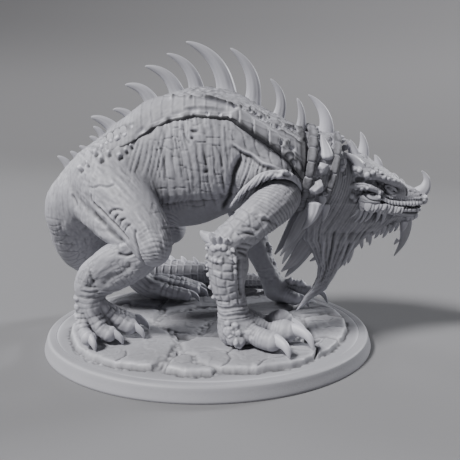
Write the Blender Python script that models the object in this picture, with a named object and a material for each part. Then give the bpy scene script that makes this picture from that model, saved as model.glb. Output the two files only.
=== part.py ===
"""A tabletop miniature: a spined, hunched monitor-like beast on a round flagstone base.

Millimetre sizes are turned into metres by MM. The beast faces +X, +Z is up, and the origin is the
centre of the base's underside. Every limb is a loft through a few stations, each
(x, y, z, half width, half height). A piece is trimmed by its neighbours' lofts, grown by GAP.
"""
import math

import bmesh
import bpy
from mathutils import Vector

MM = 0.001
GAP = 0.3                 # clearance between touching pieces
BASE_RADIUS = 50.0
RIM_RADIUS = 48.96        # the rim tapers in a little towards its top
RIM_HEIGHT = 4.2
GROUND = 6.2              # level of the highest flagstones' tops
BED_RADIUS, BED_HEIGHT = 44.0, 5.2   # the bed that the flagstones are set in
STONE_BEVEL = 0.9         # how far a flagstone's top draws in from its foot
FLATNESS = math.radians(5)   # faces that lean less than this to each other are merged
SHIELD = 1.5              # thickness of the back shield over the trunk

# ---- the beast's driving stations, in millimetres ------------------------------------------------
TRUNK = [(-43, 0, 41, 7.8, 7), (-37.5, 0, 45.5, 12.2, 10), (-28, 0, 53, 14, 12.8),
         (-16, 0, 54.2, 15, 18.3), (-3, 0, 56.4, 16.5, 19.8), (8, 0, 57.5, 16, 17.2),
         (17, 0, 56, 15, 14), (25, 0, 54.2, 12.5, 11.5)]
NECK = [(25, 0, 54, 12, 10.6), (32, 0, 52.8, 12.2, 10.8), (38, 0, 50.8, 10.8, 10.2),
        (42.6, 0, 49, 8.4, 6.6)]
TAIL = [(-41, 1, 40, 7.6, 7.6), (-42.8, 7, 31.5, 7.6, 7.6), (-42, 16.5, 24.6, 7.5, 7.5),
        (-37, 26.5, 19.8, 6.6, 6.6), (-28, 33.6, 15.4, 5.8, 5.8), (-15, 36, 12.2, 4.9, 4.9),
        (-2, 36.4, 11.1, 4.3, 4.3), (9, 36, 9.8, 3.2, 3.2), (19, 34, 8.8, 2.2, 2.2),
        (27.5, 30.4, 8.1, 1.6, 1.6), (33.5, 26.5, 7.6, 1.0, 1.0)]
TAIL_CUTS = (3, 6, 10)    # the stations where the tail's three lengths end
# the tail's small spines: foot, and how far the tip leans
TAIL_SPINES = [(-13.4, 35.6, 15.6, -1.6), (-9.4, 35.8, 15.1, -1.4), (-5, 36, 14.5, 3.6)]

THIGH_NEAR = [(-27, -8, 50, 8, 10), (-22.5, -15, 44.5, 7.2, 9), (-17, -21, 38.5, 6.2, 7.2),
              (-14, -24, 34.2, 5.8, 5.6)]
HAMSTRING_NEAR = [(-36, -8.5, 44, 5, 5.5), (-30, -15.5, 39, 4.2, 4.2), (-23.5, -19.5, 34.6, 3.4, 3.4)]
SHANK_NEAR = [(-17.5, -22, 31, 4.6, 5.4), (-24, -21, 27.6, 5, 5.8), (-30, -20, 24, 4.3, 4.6),
              (-32.6, -20, 21.6, 3.9, 4.1)]
META_NEAR = [(-32.6, -20, 21, 3.9, 4.0), (-32.8, -19.6, 16.5, 4.1, 3.8), (-31.8, -18.6, 12, 4.8, 4.2),
             (-30.5, -17.6, 10, 5, 3.4)]
TOES_HIND_NEAR = [
    [(-33, -19, 12.5, 2.3, 2.4), (-33.4, -23.5, 10, 2, 2), (-31.8, -27, 8.6, 1.9, 1.8)],
    [(-31, -19, 12, 2.3, 2.4), (-29.4, -21.6, 10.4, 2, 2), (-27, -23.4, 8.6, 2, 1.9)],
    [(-29, -17.5, 12.6, 2.3, 2.4), (-25.4, -17.4, 11.2, 2.1, 2.1), (-22.2, -18.8, 9, 2.1, 2)],
    [(-28.5, -15, 11.6, 2.2, 2.3), (-25, -12, 10, 2, 2), (-21.6, -11.2, 8.7, 1.9, 1.8)]]
CLAWS_HIND_NEAR = [[(-31.2, -28, 8.9), (-30.2, -29.5, 8.4), (-29.3, -30.6, 6.4)],
                   [(-26.2, -24, 9), (-24.4, -24.8, 8.6), (-22.8, -25.2, 6.4)],
                   [(-21.4, -19.2, 9.4), (-19.4, -19.8, 9), (-17.6, -20.2, 6.4)],
                   [(-20.8, -11.2, 9), (-19, -11.6, 8.6), (-17.3, -12, 6.4)]]

UPPER_ARM_NEAR = [(20.5, -10, 46.5, 6, 6.6), (19, -17, 44.6, 6.2, 6.8), (13, -21, 39.6, 5.3, 5.8),
                  (7, -23, 35, 4.8, 5.2)]
FOREARM_NEAR = [(5.8, -23.5, 32.5, 4.6, 5.1), (6, -24, 26, 4.8, 5.2), (6.8, -24, 20, 4.1, 4.1),
                (7.4, -24, 15.5, 4.0, 4.0)]
PALM_NEAR = [(7.6, -24, 14.6, 4.2, 4.2), (8.6, -23.4, 10.8, 4.6, 4.4), (12, -22.6, 9.6, 4.6, 3.4)]
TOES_FORE_NEAR = [
    [(9, -25.5, 10.6, 3, 3), (13.5, -28, 9.5, 2.8, 2.7), (18, -30.6, 8.8, 2.6, 2.5)],
    [(11, -22, 12, 3, 3), (17.5, -22.8, 10.6, 2.6, 2.6), (22.8, -24.6, 9.8, 3, 3)],
    [(11.5, -19.5, 11.6, 2.8, 2.8), (17.5, -18.3, 10.6, 2.4, 2.5), (22, -18.6, 9.8, 2.6, 2.6)],
    [(8.5, -19.5, 10.4, 2.4, 2.6), (12, -15, 9.2, 2.1, 2.2), (15.4, -12.6, 8.6, 2, 2)]]
CLAWS_FORE_NEAR = [[(18.6, -31.6, 9.6), (20.8, -34, 9.2), (22, -36, 6.4)],
                   [(24, -25.6, 10.6), (27.4, -28, 10.4), (29.2, -30.4, 6.4)],
                   [(23.4, -19.2, 10.4), (26.4, -20.4, 10), (28.4, -22, 6.4)],
                   [(16.4, -12.2, 9), (18.4, -11.2, 8.6), (20, -10.6, 6.4)]]

THIGH_FAR = [(-27, 8, 50, 8, 10), (-22.5, 14, 43.5, 7.2, 9), (-17.5, 18.5, 37, 6.2, 7.2),
             (-14, 21.5, 31.5, 5.6, 5.6)]
HAMSTRING_FAR = [(-36, 8.5, 44, 5, 5.5), (-30, 14, 38.5, 4.2, 4.2), (-24, 18, 33, 3.4, 3.4)]
SHANK_FAR = [(-17, 21, 28.6, 4.6, 5.2), (-22.5, 21, 24.6, 4.8, 5.4), (-26.6, 20.5, 20.6, 4.2, 4.4),
             (-27.6, 20.3, 18.6, 3.9, 4.2)]
META_FAR = [(-27.4, 20.3, 17.8, 3.9, 4.2), (-25, 20.4, 13.6, 4.2, 4), (-20.6, 20.8, 10.4, 5, 3.6),
            (-16, 21.2, 9.4, 5.2, 3)]
TOES_HIND_FAR = [
    [(-18, 18.6, 9.6, 2.3, 2.2), (-12.6, 17.6, 9, 2, 2), (-8.4, 17.8, 8.5, 1.9, 1.9)],
    [(-17, 21, 10.6, 2.3, 2.2), (-11, 21.4, 9.8, 2, 2), (-5.6, 22.4, 8.8, 2, 1.9)],
    [(-17, 23.4, 11.4, 2.2, 2.2), (-11, 25.6, 10.6, 2, 2), (-6, 27.6, 8.8, 1.9, 1.9)]]
CLAWS_HIND_FAR = [[(-7.4, 17.8, 9), (-5.4, 17.6, 8.6), (-3.8, 17.4, 6.4)],
                  [(-4.6, 22.6, 9.2), (-2.4, 22.8, 8.8), (-0.8, 23, 6.4)],
                  [(-5, 28, 9.2), (-3, 28.8, 8.8), (-1.4, 29.4, 6.4)]]

UPPER_ARM_FAR = [(20.5, 10, 46.5, 6, 6.6), (19.5, 16, 44.2, 6.2, 6.8), (15.5, 19.6, 39, 5.2, 5.8),
                 (12.4, 21.4, 34.4, 4.6, 5)]
FOREARM_FAR = [(12.6, 21.6, 31.8, 4.2, 4.7), (15.4, 20.4, 25.4, 4, 4.4), (18.6, 18.6, 19, 3.6, 3.7),
               (20.8, 17.6, 14.6, 3.4, 3.6)]
PALM_FAR = [(21.2, 17.4, 13.6, 3.6, 3.8), (22.6, 17, 10.4, 4.2, 3.8), (25, 16.6, 9.4, 4.2, 3)]
TOES_FORE_FAR = [
    [(22.6, 14.8, 10, 2.4, 2.4), (25.8, 13.4, 9.4, 2.2, 2.2), (28.6, 12.6, 8.6, 2.1, 2)],
    [(24.6, 17, 11.6, 2.4, 2.4), (29, 16.6, 11, 2.1, 2.1), (33.6, 16, 9.8, 2.1, 2.1)],
    [(24.4, 19.4, 11.6, 2.3, 2.3), (29, 21, 10.4, 2, 2), (32.8, 22.4, 9, 1.9, 1.9)]]
CLAWS_FORE_FAR = [[(29.6, 12.4, 9.2), (31.4, 11.8, 8.8), (32.8, 11.2, 6.4)],
                  [(34.8, 15.8, 10.4), (37.2, 15.2, 10), (39.2, 14.4, 6.4)],
                  [(33.8, 22.8, 9.4), (35.8, 23.6, 9), (37.2, 24.2, 6.4)]]

# the head: a skull loft, a lower jaw loft, and their horns
SKULL = [(42, 0, 50.6, 7.4, 6.2), (46.5, 0, 50.8, 8.2, 5.8), (51.5, 0, 49, 7, 4.9),
         (57, 0, 46.6, 5, 3.5), (61.5, 0, 44.9, 4.1, 2.9), (64, 0, 44, 3.4, 2.5)]
JAW = [(43.6, 0, 44.6, 7.8, 3.6), (48, 0, 43, 7.6, 2.8), (54, 0, 41.2, 5.8, 2.2), (60, 0, 39.9, 4.2, 1.8),
       (63.4, 0, 39.3, 3.3, 1.5)]
EYES = [(54.4, side * 5.2, 47.6) for side in (-1, 1)]
EYE_RADIUS = 1.15
NOSE_HORN = [(63.2, 0, 44.8, 2.0), (66, 0, 46.6, 1.6), (66.6, 0, 49.2, 1.0), (64.8, 0, 52.2, 0.35)]

# the back's spines: foot (x, z), tip (x, z), half thickness at the foot
SPINES = [(-41.2, 52.6, -45.5, 56.8, 1.3), (-38.3, 55, -41.6, 58.2, 1.1), (-35.6, 57.8, -38.8, 59.8, 1.0),
          (-32.6, 61, -35.6, 62.6, 0.9), (-31.4, 63.6, -34.4, 65.8, 0.9), (-28.4, 65.8, -35, 68.4, 1.4),
          (-23.2, 69.6, -28.3, 70.6, 1.0), (-16.4, 72.6, -24.5, 77.8, 1.9), (-8.8, 75, -18.5, 83.2, 2.0),
          (-3.2, 76.2, -12, 86.8, 2.0), (5.4, 75.4, -6.3, 90.2, 2.4), (13, 72.4, 6.7, 88.4, 2.0),
          (20.8, 68.4, 18.6, 79.6, 1.4), (27.6, 65.4, 26.6, 74, 1.2)]
COLLAR_SPINE = (35.6, 62.6, 29.9, 75.0, 2.3)
SPINE_BOW = 0.16          # how far a spine bows forwards, as a share of its length

COLLAR = [(28.2, 0, 54, 15.6, 11.8), (32.8, 0, 53, 14.0, 11.0), (37, 0, 52, 13.2, 10.6)]
COLLAR_BANDS = (0, 2)     # the collar's stations that carry a raised ring
BAND_WIDTH, BAND_RISE = 3.0, 1.0
COLLAR_SPIKES = [         # foot, tip and half thickness of each spike or knob, on both sides
    [(33.6, 12, 57), (32.5, 11, 63), 1.9], [(32.4, 13.4, 54), (32.6, 16, 54.4), 1.9],
    [(31, 14, 49.6), (30.6, 17.6, 49.2), 2.3], [(29.9, 12.8, 44.4), (26.9, 16, 36.9), 2.1]]

THROAT = [(48, 0, 40.5, 5.5, 13), (45, 0, 36, 5, 11.4), (41, 0, 30.5, 4, 8.6), (39, 0.5, 24.5, 2.6, 4.8),
          (36.4, 1.2, 18.5, 1.8, 2.9), (33, 2.4, 12.6, 1.2, 2), (29.4, 3.4, 9, 0.7, 0.9),
          (28, 4, 7.7, 0.4, 0.5)]
THROAT_SPURS = [          # foot, tip and half thickness of the spurs along the throat's front edge
    [(44.4, 0, 28.6), (43.3, 0, 23.4), 1.2], [(47.6, 0, 32), (47.4, 0, 28.2), 0.8],
    [(50, 0, 33), (49.8, 0, 29.2), 0.8],
    [(52.4, 0, 34.6), (51.4, 0, 31.4), 0.7], [(54.8, 0, 35), (53.8, 0, 31.8), 0.7]]
FRILL_BLADES = [          # the hanging blades behind the throat: (x, y, z, half thickness, half width)
    [(32, 0, 36, 1, 3), (29.2, 0, 30.4, 0.8, 2.2), (27, 0, 25, 0.6, 1.7), (23.4, 0, 20.4, 0.35, 0.4)],
    [(29, -3, 40, 1, 3), (26, -3, 33.6, 0.8, 1.9), (24.2, -3, 29, 0.6, 1.2), (22.4, -3, 24.4, 0.35, 0.4)],
    [(29, 3, 40, 1, 3), (25.4, 3.4, 34.6, 0.8, 1.8), (23, 3.8, 30.6, 0.6, 1.1), (21.4, 4, 26.6, 0.35, 0.4)]]
CHIN_SPIKE = [(60.6, 0, 39, 1.4), (60.7, 0, 35.5, 1.9), (60, 0, 31, 1.2), (57.4, 0, 26, 0.3)]
CROWN = [                 # the head's horns that belong to the skull: foot, tip and half thickness
    [(46.4, 0, 56), (45.8, 0, 64.1), 1.6], [(44.4, 2.6, 55.6), (42.2, 3, 61.8), 1.1],
    [(51.3, 0, 53), (50.3, 0, 57.2), 1.2], [(56.6, 0, 49.4), (55.8, 0, 51.8), 0.7],
    [(59, 0, 48.2), (58.6, 0, 50), 0.6]]
TEMPLE_HORN = [(44.4, 6.8, 53.2), (39.4, 8, 58.2), 1.5]
HIND_CLAW, FORE_CLAW = 0.95, 1.3   # radius of a claw where it leaves its toe
ELBOW_SPIKES = [[(2.2, 23.6, 33.6), (-1.5, 23.2, 37.8), 1.4], [(4, 25.4, 35.2), (1.6, 26, 39), 1.1],
                [(3.6, 21.6, 36.6), (1.4, 21.2, 39.8), 1.0]]
# the back shield's lower edge, as (x, z)
SHIELD_EDGE = [(-46, 47), (-38, 53.5), (-30, 58.4), (-21.4, 63), (-12, 67.4), (-3, 68.8), (6, 68),
               (12.2, 64.4), (18, 60.4), (22.6, 56.4), (27.5, 50.5), (31, 47)]


# the flagstones: an outline of (x, y) and the level of the top
STONES = [
    ([(-42, -13), (-37.5, -25), (-31, -34), (-24, -38.4), (-14, -40), (-9.4, -33.4), (-8.4, -22.5),
      (-11.5, -12.5), (-17, -5), (-26, 0), (-37, 1), (-43.5, -4)], 6.2),
    ([(-10, -41.4), (-8.6, -34), (-6, -30.6), (-2.9, -31.6), (-2.9, -36.8), (3.2, -41.4), (2.4, -44.4),
      (-5, -44.6)], 6.1),
    ([(-7.6, -22), (-5.4, -29.8), (-2.2, -31.2), (-2.2, -36.2), (4.4, -41), (14, -42.4), (23, -38.6),
      (30, -33), (30.6, -26), (26, -20.6), (10, -18.6), (-2, -17)], 6.2),
    ([(31.2, -31.4), (35.6, -27.4), (39, -20.4), (34.4, -17), (31.4, -22.6)], 6.0),
    ([(-1.6, -16), (10, -17.6), (25.6, -19.6), (29.4, -10), (28.6, 0), (24, 6), (12, 5), (1, -2)], 6.1),
    ([(31, -17), (34.4, -16), (39.6, -18.6), (43.4, -9), (44.6, 1), (38, 4.4), (30, 1), (30.4, -9)], 6.2),
    ([(29.4, 2.4), (38, 5.6), (44.4, 2.6), (43.4, 11), (39, 19.6), (31, 16.4), (25.6, 8)], 6.2),
    ([(13, 6.6), (24.4, 7.4), (30.4, 17.2), (38, 20.8), (32, 30.4), (20, 35), (10.6, 24), (9, 13)], 6.2),
    ([(-16, -3.6), (-10.8, -11), (-3, -15.4), (0, -1.4), (11.4, 6.4), (7.8, 13.4),
      (-4, 12), (-14.6, 4)], 5.8),
    ([(-36.6, 2.6), (-25.6, 1.4), (-17, -2.6), (-15.8, 4.8), (-17.4, 12.6), (-28, 16), (-39.6, 14)], 5.9),
    ([(-16.4, 13.6), (-14.4, 6), (-4.6, 13.4), (7.6, 15), (9.4, 24.6), (-2, 27), (-15, 24.6)], 6.2),
    ([(-39, 15.6), (-28, 17.6), (-17.6, 14.4), (-16, 25.8), (-20, 37), (-30.4, 31.6)], 6.2),
    ([(-14.6, 26.2), (-2, 28.4), (9.6, 26), (18.6, 36), (14, 41.4), (0, 43.8), (-14, 41.4),
      (-18.6, 37.6)], 6.2)]


FRILL_ROOT = [(28, 0, 41, 5, 2.4), (33, 0, 37, 3, 2.6)]   # where the hanging blades grow together

# ---- how finely things are made ----------------------------------------------------------------------
TRUNK_SIDES, NECK_SIDES, SKULL_SIDES, LIMB_SIDES = 20, 16, 14, 12
INSTEP_SIDES, TOE_SIDES, BLADE_SIDES, CLAW_SIDES = 10, 7, 6, 5
RIM_SIDES = 52            # of the base's disc
SLENDER = 1.25            # a spike with a thinner foot than this has four sides, others six
SPIKE_TIP, CLAW_TIP = 0.28, 0.3      # radius at the very tip
CLAW_ROOT = 1.2           # how far a claw's root reaches back into its toe
CREASE = math.radians(38) # edges sharper than this are shaded as edges
VOLUME_SLACK = 0.001      # how far two solvers' volumes may differ, as a share


# ---- modelling helpers -----------------------------------------------------------------------------
def material(name, colour, roughness):
    """A Principled BSDF of one colour."""
    made = bpy.data.materials.new(name)
    made.use_nodes = True
    shader = made.node_tree.nodes["Principled BSDF"]
    shader.inputs["Base Color"].default_value = (*colour, 1)
    shader.inputs["Roughness"].default_value = roughness
    shader.inputs["Metallic"].default_value = 0
    return made


def new_object(name, points, faces):
    mesh = bpy.data.meshes.new(name)
    mesh.from_pydata([[c * MM for c in p] for p in points], [], faces)
    mesh.update()
    obj = bpy.data.objects.new(name, mesh)
    bpy.context.scene.collection.objects.link(obj)
    return obj


def spline(stations, steps):
    """Catmull-Rom points through the stations, with every number of a station carried along."""
    rows = [stations[0]] + list(stations) + [stations[-1]]
    out = []
    for i in range(1, len(rows) - 2):
        for k in range(steps):
            t = k / steps
            out.append([0.5 * (2 * b + (c - a) * t + (2 * a - 5 * b + 4 * c - d) * t * t
                               + (3 * b - a - 3 * c + d) * t ** 3)
                        for a, b, c, d in zip(*rows[i - 1:i + 3])])
    out.append([float(v) for v in stations[-1]])
    return out


def loft(name, stations, sides=10, steps=2, grow=0.0, side_hint=(0, 1, 0), dome=0.6):
    """A closed tube through the stations: an ellipse at each ring, and a domed cap at each end."""
    rings = spline(stations, steps)
    centres = [Vector(r[:3]) for r in rings]
    across = Vector(side_hint)
    points, loops = [], []

    def add_ring(centre, tangent, half_width, half_height):
        up = tangent.cross(across)
        loops.append(range(len(points), len(points) + sides))
        for k in range(sides):
            turn = 2 * math.pi * k / sides
            sideways, upwards = half_width * math.cos(turn), half_height * math.sin(turn)
            points.append(centre + across * sideways + up * upwards)

    def add_cap(centre, tangent, ring, outwards):
        reach = dome * min(ring[3], ring[4]) + grow
        slope = math.sqrt(0.5)
        if dome > 0:
            add_ring(centre + tangent * (outwards * reach * slope), tangent,
                     (ring[3] + grow) * slope, (ring[4] + grow) * slope)
        return centre + tangent * (outwards * reach)

    for i, ring in enumerate(rings):
        tangent = (centres[min(i + 1, len(rings) - 1)] - centres[max(i - 1, 0)]).normalized()
        across = (across - tangent * across.dot(tangent)).normalized()
        if i == 0:
            start = add_cap(centres[0], tangent, ring, -1)
        add_ring(centres[i], tangent, ring[3] + grow, ring[4] + grow)
    end = add_cap(centres[-1], tangent, rings[-1], 1)
    faces = [(a[k], a[(k + 1) % sides], b[(k + 1) % sides], b[k])
             for a, b in zip(loops, loops[1:]) for k in range(sides)]
    first, last = len(points), len(points) + 1
    faces += [(loops[0][(k + 1) % sides], loops[0][k], first) for k in range(sides)]
    faces += [(loops[-1][k], loops[-1][(k + 1) % sides], last) for k in range(sides)]
    return outward(new_object(name, points + [start, end], faces))


def outward(obj):
    """Turns the faces round if the closed mesh's signed volume is negative."""
    mesh = obj.data
    mesh.calc_loop_triangles()
    corners = [[mesh.vertices[index].co for index in triangle.vertices] for triangle in mesh.loop_triangles]
    if sum(a.dot(b.cross(c)) for a, b, c in corners) < 0:
        mesh.flip_normals()
    return obj


def horn(name, points, sides=6, steps=1, grow=0.0, flat=1.0):
    """A tapering spike through (x, y, z, radius) points; flat thins it across the body."""
    return loft(name, [(x, y, z, r * flat, r) for x, y, z, r in points], sides, steps, grow, (0, 1, 0.01), 0)


def claw(name, points, radius, grow=0.0):
    """A hooked claw through root, bend and tip."""
    (ax, ay, az), (bx, by, bz), (cx, cy, cz) = points
    back = Vector((ax - bx, ay - by, az - bz)).normalized() * CLAW_ROOT
    root = (ax + back.x, ay + back.y, az + back.z)
    rings = [(*root, radius * 0.9), (ax, ay, az, radius), (bx, by, bz, radius * 0.75), (cx, cy, cz, CLAW_TIP)]
    return horn(name, rings, CLAW_SIDES, 1, grow)


def measure(mesh):
    """The mesh's volume, and whether every edge has exactly two faces."""
    work = bmesh.new()
    work.from_mesh(mesh)
    volume, closed = work.calc_volume(signed=True), is_closed(work)
    work.free()
    return volume, closed


def boolean(target, others, operation):
    """Applies a Boolean with each of the others, which are then removed.

    The EXACT solver's result is kept where it is closed and the MANIFOLD solver finds the same volume.
    """
    for other in others:
        results = {}
        for solver in ("EXACT", "MANIFOLD"):
            modifier = target.modifiers.new(operation.title(), "BOOLEAN")
            modifier.operation = operation
            modifier.solver = solver
            modifier.object = other
            bpy.context.view_layer.update()
            evaluated = target.evaluated_get(bpy.context.evaluated_depsgraph_get())
            mesh = bpy.data.meshes.new_from_object(evaluated)
            target.modifiers.clear()
            results[solver] = (mesh, *measure(mesh))
        exact, volume, closed = results["EXACT"]
        other_mesh, other_volume, _ = results["MANIFOLD"]
        agree = closed and abs(volume - other_volume) < VOLUME_SLACK * abs(other_volume)
        target.data = exact if agree else other_mesh
        bpy.data.objects.remove(other)
    return target


def joined(name, pieces):
    whole = boolean(pieces[0], pieces[1:], "UNION")
    whole.name = name
    return whole


def trimmed(piece, *cutters):
    """The piece without what its grown neighbours hold."""
    return boolean(piece, list(cutters), "DIFFERENCE")


def finish(piece, finish_material):
    piece.data.materials.clear()
    piece.data.materials.append(finish_material)
    piece.data.shade_smooth()
    piece.data.set_sharp_from_angle(angle=CREASE)


def below(level):
    """A box that takes away all that lies lower than level."""
    size = 2 * BASE_RADIUS
    square = ((-size, -size), (size, -size), (size, size), (-size, size))
    corners = [(x, y, z) for z in (level - size, level) for x, y in square]
    sides = [(k, (k + 1) % 4, 4 + (k + 1) % 4, 4 + k) for k in range(4)]
    return new_object("below", corners, [(3, 2, 1, 0), (4, 5, 6, 7)] + sides)


def wall(name, outline, low_y, high_y):
    """A prism across the body with the given (x, z) outline."""
    count = len(outline)
    points = [(x, y, z) for y in (low_y, high_y) for x, z in outline]
    faces = [tuple(range(count)), tuple(range(2 * count - 1, count - 1, -1))]
    faces += [(count + k, count + (k + 1) % count, (k + 1) % count, k) for k in range(count)]
    return outward(new_object(name, points, faces))


def is_closed(work):
    return len(work.faces) > 0 and all(len(edge.link_faces) == 2 for edge in work.edges)


def islands_of(work):
    """The mesh's separate bodies, each a list of faces, with the one of largest area last."""
    islands, seen = [], set()
    for face in work.faces:
        if face in seen:
            continue
        island, queue = [], [face]
        seen.add(face)
        while queue:
            current = queue.pop()
            island.append(current)
            for neighbour in (other for edge in current.edges for other in edge.link_faces):
                if neighbour not in seen:
                    seen.add(neighbour)
                    queue.append(neighbour)
        islands.append(island)
    return sorted(islands, key=lambda island: sum(face.calc_area() for face in island))


def biggest_body(piece):
    """Keeps the largest of the piece's separate bodies, and merges the faces that lie flat together."""
    work = bmesh.new()
    work.from_mesh(piece.data)
    bmesh.ops.remove_doubles(work, verts=work.verts, dist=1e-6)
    for island in islands_of(work)[:-1]:
        bmesh.ops.delete(work, geom=island, context="FACES")
    merged = work.copy()
    bmesh.ops.dissolve_limit(merged, angle_limit=FLATNESS, verts=merged.verts, edges=merged.edges)
    bmesh.ops.triangulate(merged, faces=merged.faces)
    (merged if is_closed(merged) else work).to_mesh(piece.data)
    work.free()
    merged.free()
    return piece


# ---- the base --------------------------------------------------------------------------------------
def stone_base():
    """A tapered disc with a rounded rim, and flagstones with sloping edges on a lower bed."""
    profile = [(BASE_RADIUS, 0), (RIM_RADIUS + 0.25, RIM_HEIGHT - 0.9),
               (RIM_RADIUS - 0.15, RIM_HEIGHT - 0.25), (RIM_RADIUS - 0.9, RIM_HEIGHT),
               (BED_RADIUS + 0.6, RIM_HEIGHT), (BED_RADIUS, BED_HEIGHT)]
    disc = turned("disc", profile, RIM_SIDES)
    stones = [stone(outline, top) for outline, top in STONES]
    return joined("base", [disc] + stones)


def turned(name, profile, sides):
    """A closed solid of revolution about Z through (radius, height) points."""
    points = [(r * math.cos(a), r * math.sin(a), z) for r, z in profile
              for a in (2 * math.pi * k / sides for k in range(sides))]
    faces = []
    for low in range(0, (len(profile) - 1) * sides, sides):
        high = low + sides
        faces += [(low + k, low + (k + 1) % sides, high + (k + 1) % sides, high + k) for k in range(sides)]
    faces.append(tuple(range(sides - 1, -1, -1)))
    faces.append(tuple(range((len(profile) - 1) * sides, len(profile) * sides)))
    return outward(new_object(name, points, faces))


def stone(outline, top):
    """A flagstone: its outline at the foot, drawn in towards its middle at the top."""
    count = len(outline)
    middle_x = sum(x for x, _ in outline) / count
    middle_y = sum(y for _, y in outline) / count
    points = []
    for inset, z in ((0, RIM_HEIGHT - 1), (STONE_BEVEL, top)):
        for x, y in outline:
            reach = math.hypot(x - middle_x, y - middle_y)
            scale = 1 - inset / reach
            points.append((middle_x + (x - middle_x) * scale, middle_y + (y - middle_y) * scale, z))
    faces = [(k, (k + 1) % count, count + (k + 1) % count, count + k) for k in range(count)]
    faces += [tuple(range(count - 1, -1, -1)), tuple(range(count, 2 * count))]
    return outward(new_object("stone", points, faces))


# ---- the body ---------------------------------------------------------------------------------------
def spike(foot, tip, radius, grow=0.0, flat=0.8, bow=0.0):
    """A curved spike: its axis bows by a share of its length towards +X, and it tapers to a point."""
    sides = 6 if radius > SLENDER else 4
    start, end = Vector(foot), Vector(tip)
    along = end - start
    bend = Vector((along.z, 0, -along.x)) * bow
    points = []
    for t in (0, 0.35, 0.7, 1):
        centre = start + along * t + bend * (4 * t * (1 - t))
        points.append((*centre, radius * (1 - t) ** 0.8 + SPIKE_TIP))
    return horn("spike", points, sides, 1, grow, flat)


def mirrored(point):
    return (point[0], -point[1], point[2])


def trunk(grow=0.0):
    return loft("trunk", TRUNK, TRUNK_SIDES, 2, grow)


def neck_blank(grow=0.0):
    return loft("neck", NECK, NECK_SIDES, 1, grow)


def throat_blank(grow=0.0):
    return loft("throat", THROAT, LIMB_SIDES, 1, grow)


def skull_blank(grow=0.0):
    return loft("head", SKULL, SKULL_SIDES, 2, grow)


def jaw_blank(grow=0.0):
    return loft("jaw", JAW, LIMB_SIDES, 1, grow)


def shield_blank(grow=0.0):
    """The trunk's outer shape, SHIELD thicker, above the shield's lower edge."""
    edge = [(x, z - grow) for x, z in SHIELD_EDGE]
    outline = [(edge[0][0] - grow, edge[0][1])] + edge + [(edge[-1][0] + grow, edge[-1][1])]
    outline += [(BASE_RADIUS, 2 * BASE_RADIUS), (-1.5 * BASE_RADIUS, 2 * BASE_RADIUS)]
    blank = loft("shield", TRUNK, TRUNK_SIDES, 2, SHIELD + grow)
    return boolean(blank, [wall("outline", outline, -BASE_RADIUS, BASE_RADIUS)], "INTERSECT")


def back_shield():
    """The smooth shield over the back, with the row of spines that grows from it."""
    spines = [spike((x, 0, z), (tx, 0, tz), radius, bow=SPINE_BOW) for x, z, tx, tz, radius in SPINES]
    whole = joined("back_shield", [shield_blank()] + spines)
    return trimmed(whole, trunk(GAP), collar_solid(GAP))


def collar_sleeve(grow=0.0):
    return loft("collar", COLLAR, NECK_SIDES, 1, grow, dome=0)


def collar():
    """A sleeve round the neck with a raised ring at each end, and spikes and knobs between the rings."""
    first, last = Vector(COLLAR[0][:3]), Vector(COLLAR[-1][:3])
    along = (last - first).normalized()
    pieces = [collar_sleeve()]
    for index in COLLAR_BANDS:
        x, y, z, width, height = COLLAR[index]
        ends = [Vector((x, y, z)) + along * (side * BAND_WIDTH / 2) for side in (-1, 0, 1)]
        rises = (0.4 * BAND_RISE, BAND_RISE, 0.4 * BAND_RISE)
        band = [(*end, width + rise, height + rise) for end, rise in zip(ends, rises)]
        pieces.append(loft("band", band, NECK_SIDES, 1, dome=0))
    for foot, tip, radius in COLLAR_SPIKES:
        pieces += [spike(foot, tip, radius, flat=1), spike(mirrored(foot), mirrored(tip), radius, flat=1)]
    x, z, tip_x, tip_z, radius = COLLAR_SPINE
    pieces.append(spike((x, 0, z), (tip_x, 0, tip_z), radius, bow=SPINE_BOW))
    return trimmed(joined("collar", pieces), neck_blank(GAP), trunk(GAP), throat_blank(GAP), *upper_arms(GAP))


def upper_arms(grow):
    return [loft("arm", arm, LIMB_SIDES, 2, grow) for arm in (UPPER_ARM_NEAR, UPPER_ARM_FAR)]


def neck():
    return trimmed(neck_blank(), trunk(GAP), skull_blank(GAP), jaw_blank(GAP), *crown(GAP), shield_blank(GAP))


def throat():
    """The hanging fold of the throat, drawn out to a point, with spurs along its front edge."""
    spurs = [spike(foot, tip, radius) for foot, tip, radius in THROAT_SPURS]
    whole = joined("throat", [throat_blank()] + spurs)
    return trimmed(whole, neck_blank(GAP), jaw_blank(GAP), skull_blank(GAP), collar_solid(GAP), trunk(GAP))


def collar_solid(grow):
    """The collar filled in, rings and all, as a cutter for what passes it."""
    widened = [(x, y, z, width + BAND_RISE, height + BAND_RISE) for x, y, z, width, height in COLLAR]
    start, end = Vector(widened[0][:3]), Vector(widened[-1][:3])
    along = (end - start).normalized() * (BAND_WIDTH / 2)
    widened[0] = (*(start - along), *widened[0][3:])
    widened[-1] = (*(end + along), *widened[-1][3:])
    return loft("collar", widened, NECK_SIDES, 1, grow, dome=0)


def throat_frill():
    """Three thin blades that hang behind the throat from under the neck."""
    blades = [loft("blade", blade, BLADE_SIDES, 1) for blade in FRILL_BLADES]
    blades.append(loft("root", FRILL_ROOT, LIMB_SIDES, 2))
    return trimmed(joined("throat_frill", blades), throat_blank(GAP), neck_blank(GAP), collar_solid(GAP),
                   trunk(GAP), *upper_arms(GAP))


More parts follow.
